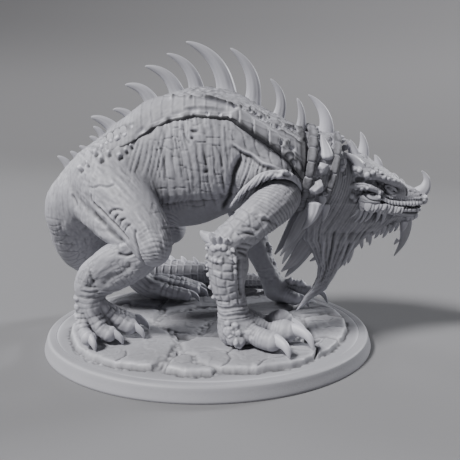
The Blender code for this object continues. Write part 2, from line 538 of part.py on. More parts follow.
# ---- the head ----------------------------------------------------------------------------------------
def crown(grow=0.0):
    """The spikes that stand on the skull: those off its middle line are made on both sides."""
    pairs = [(foot, tip, radius) for foot, tip, radius in CROWN]
    pairs += [(mirrored(foot), mirrored(tip), radius) for foot, tip, radius in CROWN if foot[1] != 0]
    return [spike(foot, tip, radius, grow, bow=0.08) for foot, tip, radius in pairs]


def skull():
    """The skull and upper jaw, with the crown's spikes."""
    whole = joined("head", [skull_blank()] + crown())
    return trimmed(whole, collar_solid(GAP), *[eye(place, GAP) for place in EYES])


def jaw():
    return trimmed(jaw_blank(), skull_blank(GAP), collar_solid(GAP))


def temple_horn(side):
    """The spike behind the eye, on one side of the head."""
    foot_point, tip, radius = TEMPLE_HORN
    if side == "right":
        foot_point, tip = mirrored(foot_point), mirrored(tip)
    horn_node = trimmed(spike(foot_point, tip, radius, flat=1, bow=0.12), skull_blank(GAP), collar_solid(GAP),
                        neck_blank(GAP))
    horn_node.name = "temple_horn_" + side
    return horn_node


def eye(place, grow=0.0):
    work = bmesh.new()
    bmesh.ops.create_icosphere(work, subdivisions=2, radius=(EYE_RADIUS + grow) * MM)
    bmesh.ops.translate(work, verts=work.verts, vec=Vector(place) * MM)
    mesh = bpy.data.meshes.new("eye")
    work.to_mesh(mesh)
    work.free()
    obj = bpy.data.objects.new("eye", mesh)
    bpy.context.scene.collection.objects.link(obj)
    return obj


# ---- the legs ----------------------------------------------------------------------------------------
def thigh(thigh_stations, hamstring_stations, grow=0.0):
    front = loft("thigh", thigh_stations, LIMB_SIDES, 2, grow)
    return joined("thigh", [front, loft("hamstring", hamstring_stations, INSTEP_SIDES, 1, grow)])


def foot(name, instep, toes, claws, claw_radius):
    """The instep, its toes and their claws in one piece, flat where it stands on the stones."""
    pieces = [loft("instep", instep, INSTEP_SIDES, 1)]
    pieces += [loft("toe", toe, TOE_SIDES, 1) for toe in toes]
    pieces += [claw("claw", points, claw_radius) for points in claws]
    return joined(name, pieces)


def leg(prefix, upper, lower, foot_parts, trims, claw_radius):
    """Three nodes: the upper leg, the lower leg trimmed by it, and the foot trimmed by both."""
    foot_name, (instep, toes, claws) = prefix + "_foot", foot_parts
    upper_node = trimmed(upper(0), *trims())
    upper_node.name = prefix + "_upper"
    lower_node = trimmed(lower(0), upper(GAP), *trims())
    lower_node.name = prefix + "_lower"
    foot_node = foot(foot_name, instep, toes, claws, claw_radius)
    foot_node = trimmed(foot_node, lower(GAP), upper(GAP), below(GROUND + GAP))
    foot_node.name = foot_name
    return [upper_node, lower_node, foot_node]


def hind_leg(prefix, thigh_stations, hamstring_stations, shank_stations, foot_parts):
    def trims():
        return [trunk(GAP), shield_blank(GAP), tail_length(0, GAP)]

    def whole_thigh(grow):
        return thigh(thigh_stations, hamstring_stations, grow)

    def shank(grow):
        return loft("shank", shank_stations, LIMB_SIDES, 2, grow)

    return leg(prefix, whole_thigh, shank, foot_parts, trims, HIND_CLAW)


def foreleg(prefix, arm_stations, forearm_stations, foot_parts, side):
    def trims():
        return [trunk(GAP), shield_blank(GAP), collar_solid(GAP), neck_blank(GAP)]

    def forearm(grow):
        spikes = [spike((x, side * y, z), (tx, side * ty, tz), radius, grow, bow=-0.1)
                  for (x, y, z), (tx, ty, tz), radius in ELBOW_SPIKES]
        return joined("forearm", [loft("forearm", forearm_stations, LIMB_SIDES, 1, grow)] + spikes)

    def arm(grow):
        return loft("arm", arm_stations, LIMB_SIDES, 2, grow)

    return leg(prefix, arm, forearm, foot_parts, trims, FORE_CLAW)


def tail_length(index, grow=0.0):
    """One of the tail's lengths, between two of its cuts."""
    start = 0 if index == 0 else TAIL_CUTS[index - 1]
    last = index == len(TAIL_CUTS) - 1
    return loft("tail", TAIL[start:TAIL_CUTS[index] + 1], LIMB_SIDES, 1, grow, dome=0.6 if last else 0.3)


def tail():
    """The tail's lengths, each trimmed by the one before; the middle one carries three small spines."""
    nodes = []
    for index in range(len(TAIL_CUTS)):
        piece = tail_length(index)
        if index == 1:
            spines = [spike((x, y, z), (x + lean, y, z + 3), 0.7) for x, y, z, lean in TAIL_SPINES]
            piece = joined("tail", [piece] + spines)
        cutters = [trunk(GAP)] if index == 0 else [tail_length(index - 1, GAP)]
        piece = trimmed(piece, *cutters, below(GROUND + GAP))
        piece.name = "tail_" + str(index + 1)
        nodes.append(piece)
    return nodes


# ---- putting it together ------------------------------------------------------------------------------
def build():
    for obj in list(bpy.data.objects):
        bpy.data.objects.remove(obj)
    resin = material("grey_resin", (0.42, 0.42, 0.46), 0.55)
    nodes = [stone_base(), trunk(), back_shield(), neck(), collar(), throat(), throat_frill(), skull(), jaw()]
    nodes += tail()
    nodes += hind_leg("hind_leg_right", THIGH_NEAR, HAMSTRING_NEAR, SHANK_NEAR,
                      (META_NEAR, TOES_HIND_NEAR, CLAWS_HIND_NEAR))
    nodes += hind_leg("hind_leg_left", THIGH_FAR, HAMSTRING_FAR, SHANK_FAR,
                      (META_FAR, TOES_HIND_FAR, CLAWS_HIND_FAR))
    nodes += foreleg("foreleg_right", UPPER_ARM_NEAR, FOREARM_NEAR,
                     (PALM_NEAR, TOES_FORE_NEAR, CLAWS_FORE_NEAR), -1)
    nodes += foreleg("foreleg_left", UPPER_ARM_FAR, FOREARM_FAR,
                     (PALM_FAR, TOES_FORE_FAR, CLAWS_FORE_FAR), 1)
    for side, place in zip(("right", "left"), EYES):
        eyeball = eye(place)
        eyeball.name = "eye_" + side
        nodes += [eyeball, temple_horn(side)]
    nose = trimmed(horn("nose_horn", NOSE_HORN, 8), skull_blank(GAP))
    nose.name = "nose_horn"
    chin = horn("chin_spike", CHIN_SPIKE, 6, flat=0.6)
    chin = trimmed(chin, jaw_blank(GAP), skull_blank(GAP), throat_blank(GAP))
    chin.name = "chin_spike"
    for node in nodes + [nose, chin]:
        finish(biggest_body(node), resin)


build()
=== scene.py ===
"""The looks of a grey resin tabletop miniature: a hunched, spined lizard on a round flagstone base.

Lengths are in millimetres and MM turns them into metres. The beast faces +X, Z is up, and its right
side is at -Y. The fleshy parts are fields: the signed distance to smoothly blended round limbs. A
surface net gives a field's zero level as quads, and a relief of folds, cracks and knobs is then
pushed out along the normals. Plates, bands, spines, claws and stones are grids of two parameters.
"""
import itertools
import math

import bmesh
import bpy
import numpy as np
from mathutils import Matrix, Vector


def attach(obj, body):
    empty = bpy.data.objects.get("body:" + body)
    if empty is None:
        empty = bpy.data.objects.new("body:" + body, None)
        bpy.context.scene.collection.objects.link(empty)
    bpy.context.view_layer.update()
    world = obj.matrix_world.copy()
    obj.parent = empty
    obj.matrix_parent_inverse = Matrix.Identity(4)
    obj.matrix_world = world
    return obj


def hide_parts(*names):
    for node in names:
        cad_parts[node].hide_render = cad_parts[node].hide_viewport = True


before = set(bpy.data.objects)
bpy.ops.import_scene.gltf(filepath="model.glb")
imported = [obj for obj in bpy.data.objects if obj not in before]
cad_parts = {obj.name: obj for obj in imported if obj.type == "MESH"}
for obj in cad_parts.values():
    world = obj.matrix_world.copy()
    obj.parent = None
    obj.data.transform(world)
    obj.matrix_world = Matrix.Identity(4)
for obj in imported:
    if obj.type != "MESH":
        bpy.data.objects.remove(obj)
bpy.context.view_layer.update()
MM = 0.001
COARSER = 1.0
GROUND = 6.2                             # level of the flagstones' tops
HUGE = 1e9
NEAR, FAR = -1, 1                        # the beast's right side and its left


# ---- fields and curves -------------------------------------------------------------------------------
def smooth_min(a, b, width):
    """min(a, b) less width / 4 * h^2, where h = max(1 - |a - b| / width, 0)."""
    near = np.maximum(1 - np.abs(a - b) / width, 0)
    return np.minimum(a, b) - 0.25 * width * near * near


def smooth_max(a, b, width):
    """The same blend for the larger of two fields."""
    return -smooth_min(-a, -b, width)


def ease(low, high, value):
    """0 below low, 1 above high, and 3t^2 - 2t^3 between, with t the share of the way."""
    t = np.clip((value - low) / (high - low), 0, 1)
    return t * t * (3 - 2 * t)


def hump(distance, width, power=2.0):
    """exp(-|distance / width|^power): 1 on the line, falling off over the width."""
    return np.exp(-np.abs(distance / width) ** power)


def norms(vectors):
    """The length of each row of an array of vectors."""
    return np.sqrt((vectors * vectors).sum(-1))


def unit(vectors):
    """The same directions with a length of 1."""
    return vectors / norms(vectors)[..., None]


def distances(line):
    """How far along a line of points each of them lies."""
    return np.concatenate([[0], np.cumsum(norms(np.diff(line, axis=0)))])


def curve(stations, steps=4):
    """Rows on Catmull-Rom cubics through the stations, with every number of a station carried along."""
    rows = np.array(stations, float)
    padded = np.vstack([2 * rows[0] - rows[1], rows, 2 * rows[-1] - rows[-2]])
    t = (np.arange(steps) / steps)[:, None]
    parts = [0.5 * (2 * b + (c - a) * t + (2 * a - 5 * b + 4 * c - d) * t ** 2
                    + (3 * b - a - 3 * c + d) * t ** 3)
             for a, b, c, d in zip(padded, padded[1:], padded[2:], padded[3:])]
    return np.vstack(parts + [rows[-1:]])


def limb(points, stations, blend=0.0):
    """Distance to a round limb through (x, y, z, radius) stations.

    For each stretch of the curved axis it is the distance to the axis less the radius there. The least
    of them counts, or their smooth minimum over the width `blend`.
    """
    best = None
    rows = curve(stations, 3)
    for a, b in zip(rows, rows[1:]):
        axis = b[:3] - a[:3]
        offset = points - a[:3]
        t = np.clip(offset @ axis / (axis @ axis), 0, 1)
        offset = offset - t[:, None] * axis
        away = norms(offset) - (a[3] + (b[3] - a[3]) * t)
        if best is None:
            best = away
        else:
            best = smooth_min(best, away, blend) if blend else np.minimum(best, away)
    return best


def lump(points, centre, radii):
    """Distance to an ellipsoid: (q - 1) * |p| / q, with q the point's share of the way to the surface."""
    offset = points - np.array(centre, float)
    share = norms(offset / np.array(radii, float)) + 1e-6
    return norms(offset) * (1 - 1 / share)


def nearest(points, line):
    """Distance from each point to a drawn line, how far along it the nearest place is, and its length."""
    best = np.full(len(points), HUGE)
    along = np.zeros(len(points))
    done = 0.0
    for a, b in zip(line, line[1:]):
        step = b - a
        length = math.sqrt(step @ step)
        t = np.clip((points - a) @ step / length ** 2, 0, 1)
        away = norms(points - a - t[:, None] * step)
        closer = away < best
        best = np.where(closer, away, best)
        along = np.where(closer, done + t * length, along)
        done += length
    return best, along, done


def limb_place(points, stations, across):
    """Where points lie by a limb: how far along its axis, and the turn round it from `across`."""
    rows = curve([s[:3] for s in stations], 4)
    best = np.full(len(points), HUGE)
    along, turn = np.zeros(len(points)), np.zeros(len(points))
    done = 0.0
    for a, b in zip(rows, rows[1:]):
        step = b - a
        length = math.sqrt(step @ step)
        tangent = step / length
        side = np.array(across, float) - tangent * (tangent @ across)
        side /= math.sqrt(side @ side)
        offset = points - a
        t = np.clip(offset @ tangent / length, 0, 1)
        offset = offset - (t * length)[:, None] * tangent
        away = norms(offset)
        closer = away < best
        best = np.where(closer, away, best)
        along = np.where(closer, done + t * length, along)
        turn = np.where(closer, np.arctan2(offset @ np.cross(tangent, side), offset @ side), turn)
        done += length
    return along, turn


# ---- noise -------------------------------------------------------------------------------------------
def lattice(cell, seed):
    """A number from 0 to 1 for each whole-number cell, mixed from its coordinates and the seed."""
    mixed = np.full(len(cell), (seed * 2654435761 + 97) % 2 ** 32, np.uint32)
    for axis, factor in zip(range(cell.shape[1]), (374761393, 668265263, 3266489917)):
        mixed = (mixed ^ (cell[:, axis].astype(np.uint32) * np.uint32(factor))) * np.uint32(2246822519)
        mixed ^= mixed >> np.uint32(15)
    return (mixed & np.uint32(0xFFFFFF)) / float(0xFFFFFF)


def noise(points, size, seed=0):
    """Smooth noise from -1 to 1: the numbers at the corners of a point's cell, blended by 3t^2 - 2t^3."""
    scaled = points / size
    base = np.floor(scaled)
    t = scaled - base
    t = t * t * (3 - 2 * t)
    base = base.astype(np.int64)
    total = np.zeros(len(points))
    for corner in itertools.product((0, 1), repeat=points.shape[1]):
        weight = np.prod([t[:, k] if c else 1 - t[:, k] for k, c in enumerate(corner)], axis=0)
        total += weight * lattice(base + np.array(corner), seed)
    return total * 2 - 1


def rough(points, size, octaves=3, seed=0):
    """Noise summed over octaves, each of half the size and half the height of the one before."""
    return sum(noise(points, size / 2 ** k, seed + k) / 2 ** k for k in range(octaves))


def cells(points, size, seed=0):
    """Scattered dots, one to a cell: distances to the two nearest, and the nearest's number, 0 to 1."""
    scaled = points / size
    base = np.floor(scaled).astype(np.int64)
    dimensions = points.shape[1]
    first, second = np.full(len(points), 9.0), np.full(len(points), 9.0)
    number = np.zeros(len(points))
    for corner in itertools.product((-1, 0, 1), repeat=dimensions):
        cell = base + np.array(corner)
        away = sum((cell[:, k] + 0.15 + 0.7 * lattice(cell, seed + 11 * k) - scaled[:, k]) ** 2
                   for k in range(dimensions))
        closer = away < first
        second = np.where(closer, first, np.minimum(second, away))
        number = np.where(closer, lattice(cell, seed + 77), number)
        first = np.where(closer, away, first)
    return np.sqrt(first) * size, np.sqrt(second) * size, number


def dome(distance):
    """sqrt(1 - d^2): a half ball of radius 1, and 0 past it."""
    return np.sqrt(np.clip(1 - distance ** 2, 0, 1))


def cracks(points, size, width, seed=0):
    """1 in the cracks between the dots' cells, where the two nearest dots are equally far."""
    first, second, _ = cells(points, size, seed)
    return hump(second - first, width)


def pleats(across, sharp=0.30):
    """Rounded folds one unit apart with narrow valleys: 0 on the folds, down to -1 in the valleys."""
    share = across - np.round(across)
    return -hump(share, sharp, 1.2)


# ---- relief: what is drawn on a skin -----------------------------------------------------------------
def within(points, line, reach):
    """Which points lie in the drawn line's box, widened by the reach."""
    low, high = line.min(0) - reach, line.max(0) + reach
    return np.flatnonzero(np.all((points > low) & (points < high), axis=1))


def draw(relief, points, line, width, rise, ends=1.0, power=2.0, mask=None, smooth=True):
    """Adds rise * exp(-(d / width)^power) along a drawn line, fading out over `ends` at both of its ends."""
    line = curve(line, 5) if smooth and len(line) > 2 else np.array(line, float)
    chosen = within(points, line, 3 * width)
    away, along, total = nearest(points[chosen], line)
    fade = ease(0, ends, along) * ease(0, ends, total - along) if ends else 1
    drawn = rise * hump(away, width, power) * fade
    relief[chosen] += drawn if mask is None else drawn * mask[chosen]


def knob(relief, points, centre, radius, rise, mask=None):
    """Adds a rounded knob, rise * sqrt(1 - (d / radius)^2), that never lowers what is there."""
    centre = np.array(centre, float)
    chosen = within(points, centre[None], radius)
    away = norms(points[chosen] - centre) / radius
    drawn = rise * np.sqrt(np.maximum(1 - away ** 2, 0))
    relief[chosen] += drawn if mask is None else drawn * mask[chosen]


def strokes(relief, points, lines, ends, power, mask=None):
    """Draws a table of (line, half width, rise)."""
    for line, width, rise in lines:
        draw(relief, points, line, width, rise, ends, power, mask)


def beads(line, spacing, seed, jitter):
    """Places along a drawn line about one spacing apart, each moved a little at random."""
    line = curve(line, 6)
    along = distances(line)
    count = max(int(along[-1] / spacing), 1)
    random = np.random.default_rng(seed)
    at = (np.arange(count) + 0.5 + random.uniform(-jitter, jitter, count)) * along[-1] / count
    return np.stack([np.interp(at, along, line[:, k]) for k in range(line.shape[1])], 1)


# ---- surface nets ------------------------------------------------------------------------------------
def in_parts(field, points):
    """The field at many points, worked out for a part of them at a time."""
    part = 200000
    return np.concatenate([field(points[k:k + part]) for k in range(0, len(points), part)])


def surface_net(field, low, high, cell):
    """The field's zero level as points and quads.

    Each cell that the level passes through gets one point, at the mean of its edges' crossings, and
    each edge that it crosses gets a quad through the four cells round it. Only blocks of 4 x 4 x 4
    cells whose centre is near the level are worked out: nearer than their half diagonal, with room to
    spare because a field may grow faster than the distance.
    """
    block, half_diagonal, spare = 4, 0.87, 1.5
    low = np.array(low, float)
    count = np.ceil((np.array(high, float) - low) / (cell * block)).astype(int)
    middles = [low[k] + (np.arange(count[k]) + 0.5) * block * cell for k in range(3)]
    middle = np.stack(np.meshgrid(*middles, indexing="ij"), -1).reshape(-1, 3)
    rough_value = in_parts(field, middle).reshape(count)
    close = np.abs(rough_value) < half_diagonal * block * cell * spare
    size = count * block + 1
    outside = np.where(rough_value > 0, 1.0, -1.0).astype(np.float32)
    value = outside.repeat(block, 0).repeat(block, 1).repeat(block, 2)
    value = np.pad(value, ((0, 1),) * 3, mode="edge")
    spread = close.repeat(block, 0).repeat(block, 1).repeat(block, 2)
    wanted = np.zeros(size, bool)
    for shift in itertools.product((0, 1), repeat=3):
        wanted[tuple(slice(s, s + n - 1) for s, n in zip(shift, size))] |= spread
    nodes = np.argwhere(wanted)
    value[wanted] = in_parts(field, low + nodes * cell)
    inside = value < 0
    corners = list(itertools.product((0, 1), repeat=3))
    views = [tuple(slice(s, s + n - 1) for s, n in zip(corner, size)) for corner in corners]
    anywhere, everywhere = inside[views[0]].copy(), inside[views[0]].copy()
    for view in views[1:]:
        anywhere |= inside[view]
        everywhere &= inside[view]
    active = anywhere & ~everywhere
    cell_at = np.argwhere(active)
    number = np.full(active.shape, -1, np.int32)
    number[active] = np.arange(len(cell_at))
    at_corner = np.stack([value[view][active] for view in views], 1)
    total, hits = np.zeros((len(cell_at), 3)), np.zeros(len(cell_at))
    for a, b in itertools.combinations(range(8), 2):
        step = np.array(corners[b]) - np.array(corners[a])
        if np.abs(step).sum() != 1:
            continue
        va, vb = at_corner[:, a], at_corner[:, b]
        crossed = (va < 0) != (vb < 0)
        share = np.where(crossed, va / np.where(crossed, va - vb, 1), 0)
        total += np.where(crossed[:, None], np.array(corners[a]) + share[:, None] * step, 0)
        hits += crossed
    points = low + (cell_at + total / hits[:, None]) * cell
    faces = []
    for axis in range(3):
        order = (axis, (axis + 1) % 3, (axis + 2) % 3)
        turned = np.moveaxis(inside, order, (0, 1, 2))
        cell_number = np.moveaxis(number, order, (0, 1, 2))
        lower = turned[:-1, 1:-1, 1:-1]
        crossed = lower != turned[1:, 1:-1, 1:-1]
        i, j, k = np.nonzero(crossed)
        quad = np.stack([cell_number[i, j, k], cell_number[i, j + 1, k],
                         cell_number[i, j + 1, k + 1], cell_number[i, j, k + 1]], 1)
        faces.append(np.where(lower[crossed][:, None], quad, quad[:, ::-1]))
    return points, np.vstack(faces)


def slope(field, points):
    """The field and its slope at the points, from four samples at the corners of a small tetrahedron."""
    reach = 0.08
    corners = np.array([(1, -1, -1), (-1, -1, 1), (-1, 1, -1), (1, 1, 1)], float)
    samples = [in_parts(field, points + corner * reach) for corner in corners]
    gradient = sum(corner * sample[:, None] for corner, sample in zip(corners, samples)) / (4 * reach)
    return sum(samples) / 4, gradient


def settle(field, points):
    """Moves points onto the field's zero level along its slope, in two steps, and gives the normals there."""
    for _ in range(2):
        value, gradient = slope(field, points)
        points = points - gradient * (value / np.maximum((gradient ** 2).sum(1), 0.05))[:, None]
    return points, unit(slope(field, points)[1])


def skin(field, low, high, cell, relief):
    """A field's surface with its relief pushed out along the normals."""
    points, faces = surface_net(field, low, high, cell * COARSER)
    points, normals = settle(field, points)
    return points + normals * relief(points, normals)[:, None], faces


# ---- grids -------------------------------------------------------------------------------------------
def grid_faces(rows, columns, wrap=True):
    """Quads between the points of a grid, whose columns close on themselves if wrap is set."""
    row, column = np.meshgrid(np.arange(rows - 1), np.arange(columns if wrap else columns - 1),
                              indexing="ij")
    row, column = row.ravel(), column.ravel()
    right = (column + 1) % columns
    return np.stack([row * columns + column, row * columns + right,
                     (row + 1) * columns + right, (row + 1) * columns + column], 1)


def sealed(grid):
    """A closed surface from a grid of rings: quads between the rings, and a fan over each end's middle."""
    rows, columns = grid.shape[:2]
    points = np.vstack([grid.reshape(-1, 3), grid[0].mean(0)[None], grid[-1].mean(0)[None]])
    ring = np.arange(columns)
    right = (ring + 1) % columns
    start = np.stack([right, ring, np.full(columns, rows * columns)], 1)
    last = (rows - 1) * columns
    end = np.stack([last + ring, last + right, np.full(columns, rows * columns + 1)], 1)
    return points, [grid_faces(rows, columns), start, end]


def sweep(path, radius, sides, hint=(0, 1, 0), flat=1.0, shape=None):
    """A grid of rings along a path: path + across * r * flat * cos(turn) + up * r * sin(turn).

    Across is the hint made square to the path, and up is square to both. shape(row, turn) multiplies r.
    """
    path, radius = np.array(path, float), np.array(radius, float)
    tangent = unit(np.gradient(path, axis=0))
    across = unit(np.array(hint, float) - tangent * (tangent @ np.array(hint, float))[:, None])
    up = np.cross(tangent, across)
    turn = 2 * math.pi * np.arange(sides) / sides
    reach = radius[:, None] * np.ones(sides)
    if shape is not None:
        row, around = np.meshgrid(np.arange(len(path)), turn, indexing="ij")
        reach = reach * shape(row / (len(path) - 1), around)
    return (path[:, None] + across[:, None] * (flat * reach * np.cos(turn))[..., None]
            + up[:, None] * (reach * np.sin(turn))[..., None])


def joined(parts):
    """Several (points, faces) shapes as one."""
    points, faces, first = [], [], 0
    for part_points, part_faces in parts:
        points.append(part_points)
        faces += [f + first for f in (part_faces if isinstance(part_faces, list) else [part_faces])]
        first += len(part_points)
    return np.vstack(points), faces


# ---- pieces ------------------------------------------------------------------------------------------
def neighbour_mean(values, edges):
    """The mean of each point's neighbours along the edges."""
    count = len(values)
    ends = np.concatenate([edges[:, 0], edges[:, 1]])
    others = np.concatenate([edges[:, 1], edges[:, 0]])
    number = np.maximum(np.bincount(ends, minlength=count), 1)
    return np.stack([np.bincount(ends, values[others, k], count) / number for k in range(values.shape[1])], 1)


def hollows(mesh, points, reach):
    """How far each point lies under two smoothed copies of its surface, in shares of the reach, -1 to 1."""
    edges = np.empty(len(mesh.edges) * 2, np.int32)
    mesh.edges.foreach_get("vertices", edges)
    edges = edges.reshape(-1, 2)
    normals = np.empty(len(points) * 3, np.float32)
    mesh.vertices.foreach_get("normal", normals)
    smoothed = points
    depth = np.zeros((len(points), 1))
    for rounds, share in ((10, 0.75), (34, 0.30)):
        for _ in range(rounds):
            smoothed = 0.4 * smoothed + 0.6 * neighbour_mean(smoothed, edges)
        depth += share * ((smoothed - points) * normals.reshape(-1, 3)).sum(1)[:, None]
    depth = 0.5 * depth + 0.5 * neighbour_mean(depth, edges)
    return np.clip(depth[:, 0] / reach, -1, 1)


def new_mesh(name, points, faces):
    """A mesh of points in millimetres and of one or more arrays of triangles or quads."""
    groups = [f for f in (faces if isinstance(faces, list) else [faces]) if len(f)]
    loops = np.concatenate([f.ravel() for f in groups]).astype(np.int32)
    sizes = np.concatenate([np.full(len(f), f.shape[1]) for f in groups])
    mesh = bpy.data.meshes.new(name)
    mesh.vertices.add(len(points))
    mesh.vertices.foreach_set("co", (points * MM).astype(np.float32).ravel())
    mesh.loops.add(len(loops))
    mesh.loops.foreach_set("vertex_index", loops)
    mesh.polygons.add(len(sizes))
    mesh.polygons.foreach_set("loop_start", np.concatenate([[0], np.cumsum(sizes)[:-1]]).astype(np.int32))
    mesh.update(calc_edges=True)
    mesh.validate()
    return mesh


def piece(name, points, faces, finish, stands_for=(), hollow=0.25):
    """An object that rides on the body, with its finish and the CAD nodes it stands for.

    Its hollows are kept as an attribute for the painted shade and highlight, and `hollow` is the depth that
    counts as full.
    """
    mesh = new_mesh(name, points, faces)
    mesh.shade_smooth()
    depth = hollows(mesh, points, hollow)
    # the hollow measure that drives the painted shade in hollows and painted highlight on ridges
    mesh.attributes.new("hollow", "FLOAT", "POINT").data.foreach_set("value", depth.astype(np.float32))
    made = bpy.data.objects.new(name, mesh)
    bpy.context.scene.collection.objects.link(made)
    made.data.materials.append(finish)
    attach(made, "root")
    if stands_for:
        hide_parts(*stands_for)
    return made


def halved(name, points, faces, finish, stands_for):
    """Two pieces, right and left of the middle plane, that meet along a row of points, capped there."""
    side = points[faces].mean(1)[:, 1] > 0
    for word, chosen, nodes in (("right", ~side, stands_for[0]), ("left", side, stands_for[1])):
        used = np.unique(faces[chosen])
        number = np.full(len(points), -1)
        number[used] = np.arange(len(used))
        made = piece(name + "_" + word, points[used], number[faces[chosen]], finish, nodes)
        work = bmesh.new()
        work.from_mesh(made.data)
        rim = [edge for edge in work.edges if edge.is_boundary]
        caps = bmesh.ops.holes_fill(work, edges=rim, sides=0)["faces"]
        for edge in rim:
            edge.smooth = False
        bmesh.ops.recalc_face_normals(work, faces=caps)
        work.to_mesh(made.data)
        work.free()


# ---- finishes ----------------------------------------------------------------------------------------
def link(tree, a, b):
    tree.links.new(a, b)


def node(tree, kind, operation=None, **values):
    """A new shader node, with its operation and some of its inputs set."""
    made = tree.nodes.new("ShaderNode" + kind)
    if operation:
        made.operation = operation
    for label, value in values.items():
        made.inputs[label.replace("_", " ")].default_value = value
    return made


def group_of(name, inputs, outputs):
    """An empty shader node group with the named float or colour sockets."""
    group = bpy.data.node_groups.new(name, "ShaderNodeTree")
    for label, kind, value in inputs:
        socket = group.interface.new_socket(label, in_out="INPUT", socket_type=kind)
        if value is not None:
            socket.default_value = value
    for label, kind in outputs:
        group.interface.new_socket(label, in_out="OUTPUT", socket_type=kind)
    return group, group.nodes.new("NodeGroupInput"), group.nodes.new("NodeGroupOutput")


def cast_grain():
    """Fine grain of cast resin: two sizes of noise as a height, and a slow mottling as a mask."""
    group, entry, out = group_of(
        "cast_grain", [("Vector", "NodeSocketVector", None), ("Size", "NodeSocketFloat", 1.0)],
        [("Height", "NodeSocketFloat"), ("Mottle", "NodeSocketFloat")])
    sized = node(group, "VectorMath", "SCALE")
    link(group, entry.outputs["Vector"], sized.inputs[0])
    link(group, entry.outputs["Size"], sized.inputs["Scale"])
    heights = []
    for scale, detail in ((4200, 2.0), (1500, 3.0), (160, 3.0)):
        layer = node(group, "TexNoise", Scale=scale, Detail=detail)
        link(group, sized.outputs["Vector"], layer.inputs["Vector"])
        heights.append(layer.outputs["Fac"])
    mixed = node(group, "Math", "MULTIPLY_ADD")
    mixed.inputs[1].default_value = 0.55
    link(group, heights[0], mixed.inputs[0])
    link(group, heights[1], mixed.inputs[2])
    link(group, mixed.outputs[0], out.inputs["Height"])
    link(group, heights[2], out.inputs["Mottle"])
    return group


def painted_shade_highlight():
    """Painted shade in hollows and painted highlight on ridges: colour * (0.95 + 0.1 * Mottle - Depth *
    Hollow).
    """
    group, entry, out = group_of(
        "painted_shade_highlight", [("Colour", "NodeSocketColor", None), ("Hollow", "NodeSocketFloat", 0.0),
                 ("Mottle", "NodeSocketFloat", 0.5), ("Depth", "NodeSocketFloat", 0.5)],
        [("Colour", "NodeSocketColor"), ("Roughness", "NodeSocketFloat")])
    shade = node(group, "Math", "MULTIPLY")
    link(group, entry.outputs["Hollow"], shade.inputs[0])
    link(group, entry.outputs["Depth"], shade.inputs[1])
    mottled = node(group, "Math", "MULTIPLY_ADD")
    mottled.inputs[1].default_value = 0.10
    link(group, entry.outputs["Mottle"], mottled.inputs[0])
    light = node(group, "Math", "SUBTRACT")
    light.inputs[0].default_value = 0.95
    link(group, shade.outputs[0], light.inputs[1])
    link(group, light.outputs[0], mottled.inputs[2])
    scaled = node(group, "VectorMath", "SCALE")
    link(group, entry.outputs["Colour"], scaled.inputs[0])
    link(group, mottled.outputs[0], scaled.inputs["Scale"])
    link(group, scaled.outputs["Vector"], out.inputs["Colour"])
    worn = node(group, "MapRange", From_Min=-0.6, From_Max=0.6, To_Min=0.47, To_Max=0.72)
    link(group, entry.outputs["Hollow"], worn.inputs["Value"])
    link(group, worn.outputs["Result"], out.inputs["Roughness"])
    return group


# the node group that paints shade into hollows and highlight onto ridges
GRAIN, PAINTED_SHADE_HIGHLIGHT = cast_grain(), painted_shade_highlight()


def resin(name, colour, depth, bump, size=1.0):
    """Matte cast resin: painted shade in its hollows and painted highlight on its ridges, with a fine grain
    as bump.
    """
    made = bpy.data.materials.new(name)
    made.use_nodes = True
    tree = made.node_tree
    shader = tree.nodes["Principled BSDF"]
    shader.inputs["Metallic"].default_value = 0
    shader.inputs["Specular IOR Level"].default_value = 0.42
    place = node(tree, "TexCoord")
    grain = node(tree, "Group")
    grain.node_tree = GRAIN
    grain.inputs["Size"].default_value = size
    link(tree, place.outputs["Object"], grain.inputs["Vector"])
    hollow = node(tree, "Attribute")
    hollow.attribute_name = "hollow"
    # painted shade in the hollows and painted highlight on the ridges, read from the hollow attribute
    painted_shading = node(tree, "Group")
    painted_shading.node_tree = PAINTED_SHADE_HIGHLIGHT
    painted_shading.inputs["Colour"].default_value = (*colour, 1)
    painted_shading.inputs["Depth"].default_value = depth
    link(tree, hollow.outputs["Fac"], painted_shading.inputs["Hollow"])
    link(tree, grain.outputs["Mottle"], painted_shading.inputs["Mottle"])
    link(tree, painted_shading.outputs["Colour"], shader.inputs["Base Color"])
    link(tree, painted_shading.outputs["Roughness"], shader.inputs["Roughness"])
    grained = node(tree, "Bump", Strength=bump, Distance=0.12 * MM)
    link(tree, grain.outputs["Height"], grained.inputs["Height"])
    link(tree, grained.outputs["Normal"], shader.inputs["Normal"])
    return made


# the third number is how strong the painted shade and painted highlight are
SKIN = resin("skin_resin", (0.285, 0.285, 0.314), 0.8, 0.35)
PLATE = resin("plate_resin", (0.29, 0.29, 0.32), 0.75, 0.3, 0.8)
HORN = resin("horn_resin", (0.31, 0.31, 0.34), 0.6, 0.16)
EYE = resin("eye_resin", (0.33, 0.33, 0.36), 0.3, 0.05)
STONE = resin("base_resin", (0.285, 0.285, 0.309), 0.6, 0.35, 0.7)


# ---- the trunk's section -----------------------------------------------------------------------------
# x, level of the middle, half width, reach upwards, reach downwards
TRUNK = curve([(-43, 41, 7.8, 7, 7), (-37.5, 45.5, 12, 10, 10), (-28, 53, 14, 12.8, 13),
               (-16, 54.2, 15, 18.3, 18.5), (-3, 56.4, 16.5, 19.8, 20.4), (8, 57.5, 16, 17.2, 17.2),
               (17, 56, 15, 14, 14), (27, 53.6, 12.4, 11.2, 11.4)], 6)
SQUARENESS = 2.25                        # the power of the trunk's section
LEDGE = 45.6                             # level of the rib edge, under which the belly draws in
SHIELD_EDGE = np.array([(-44, 48.5), (-38, 53.5), (-30, 57.8), (-21.4, 61.2), (-18.4, 62.9), (-15, 65.3),
                        (-10, 67.7), (-3, 68.8), (6, 68.3), (9.2, 66), (12.7, 63.6), (16.7, 61), (20.2, 58.2),
                        (23.5, 55), (26.5, 51), (29, 48.5)])


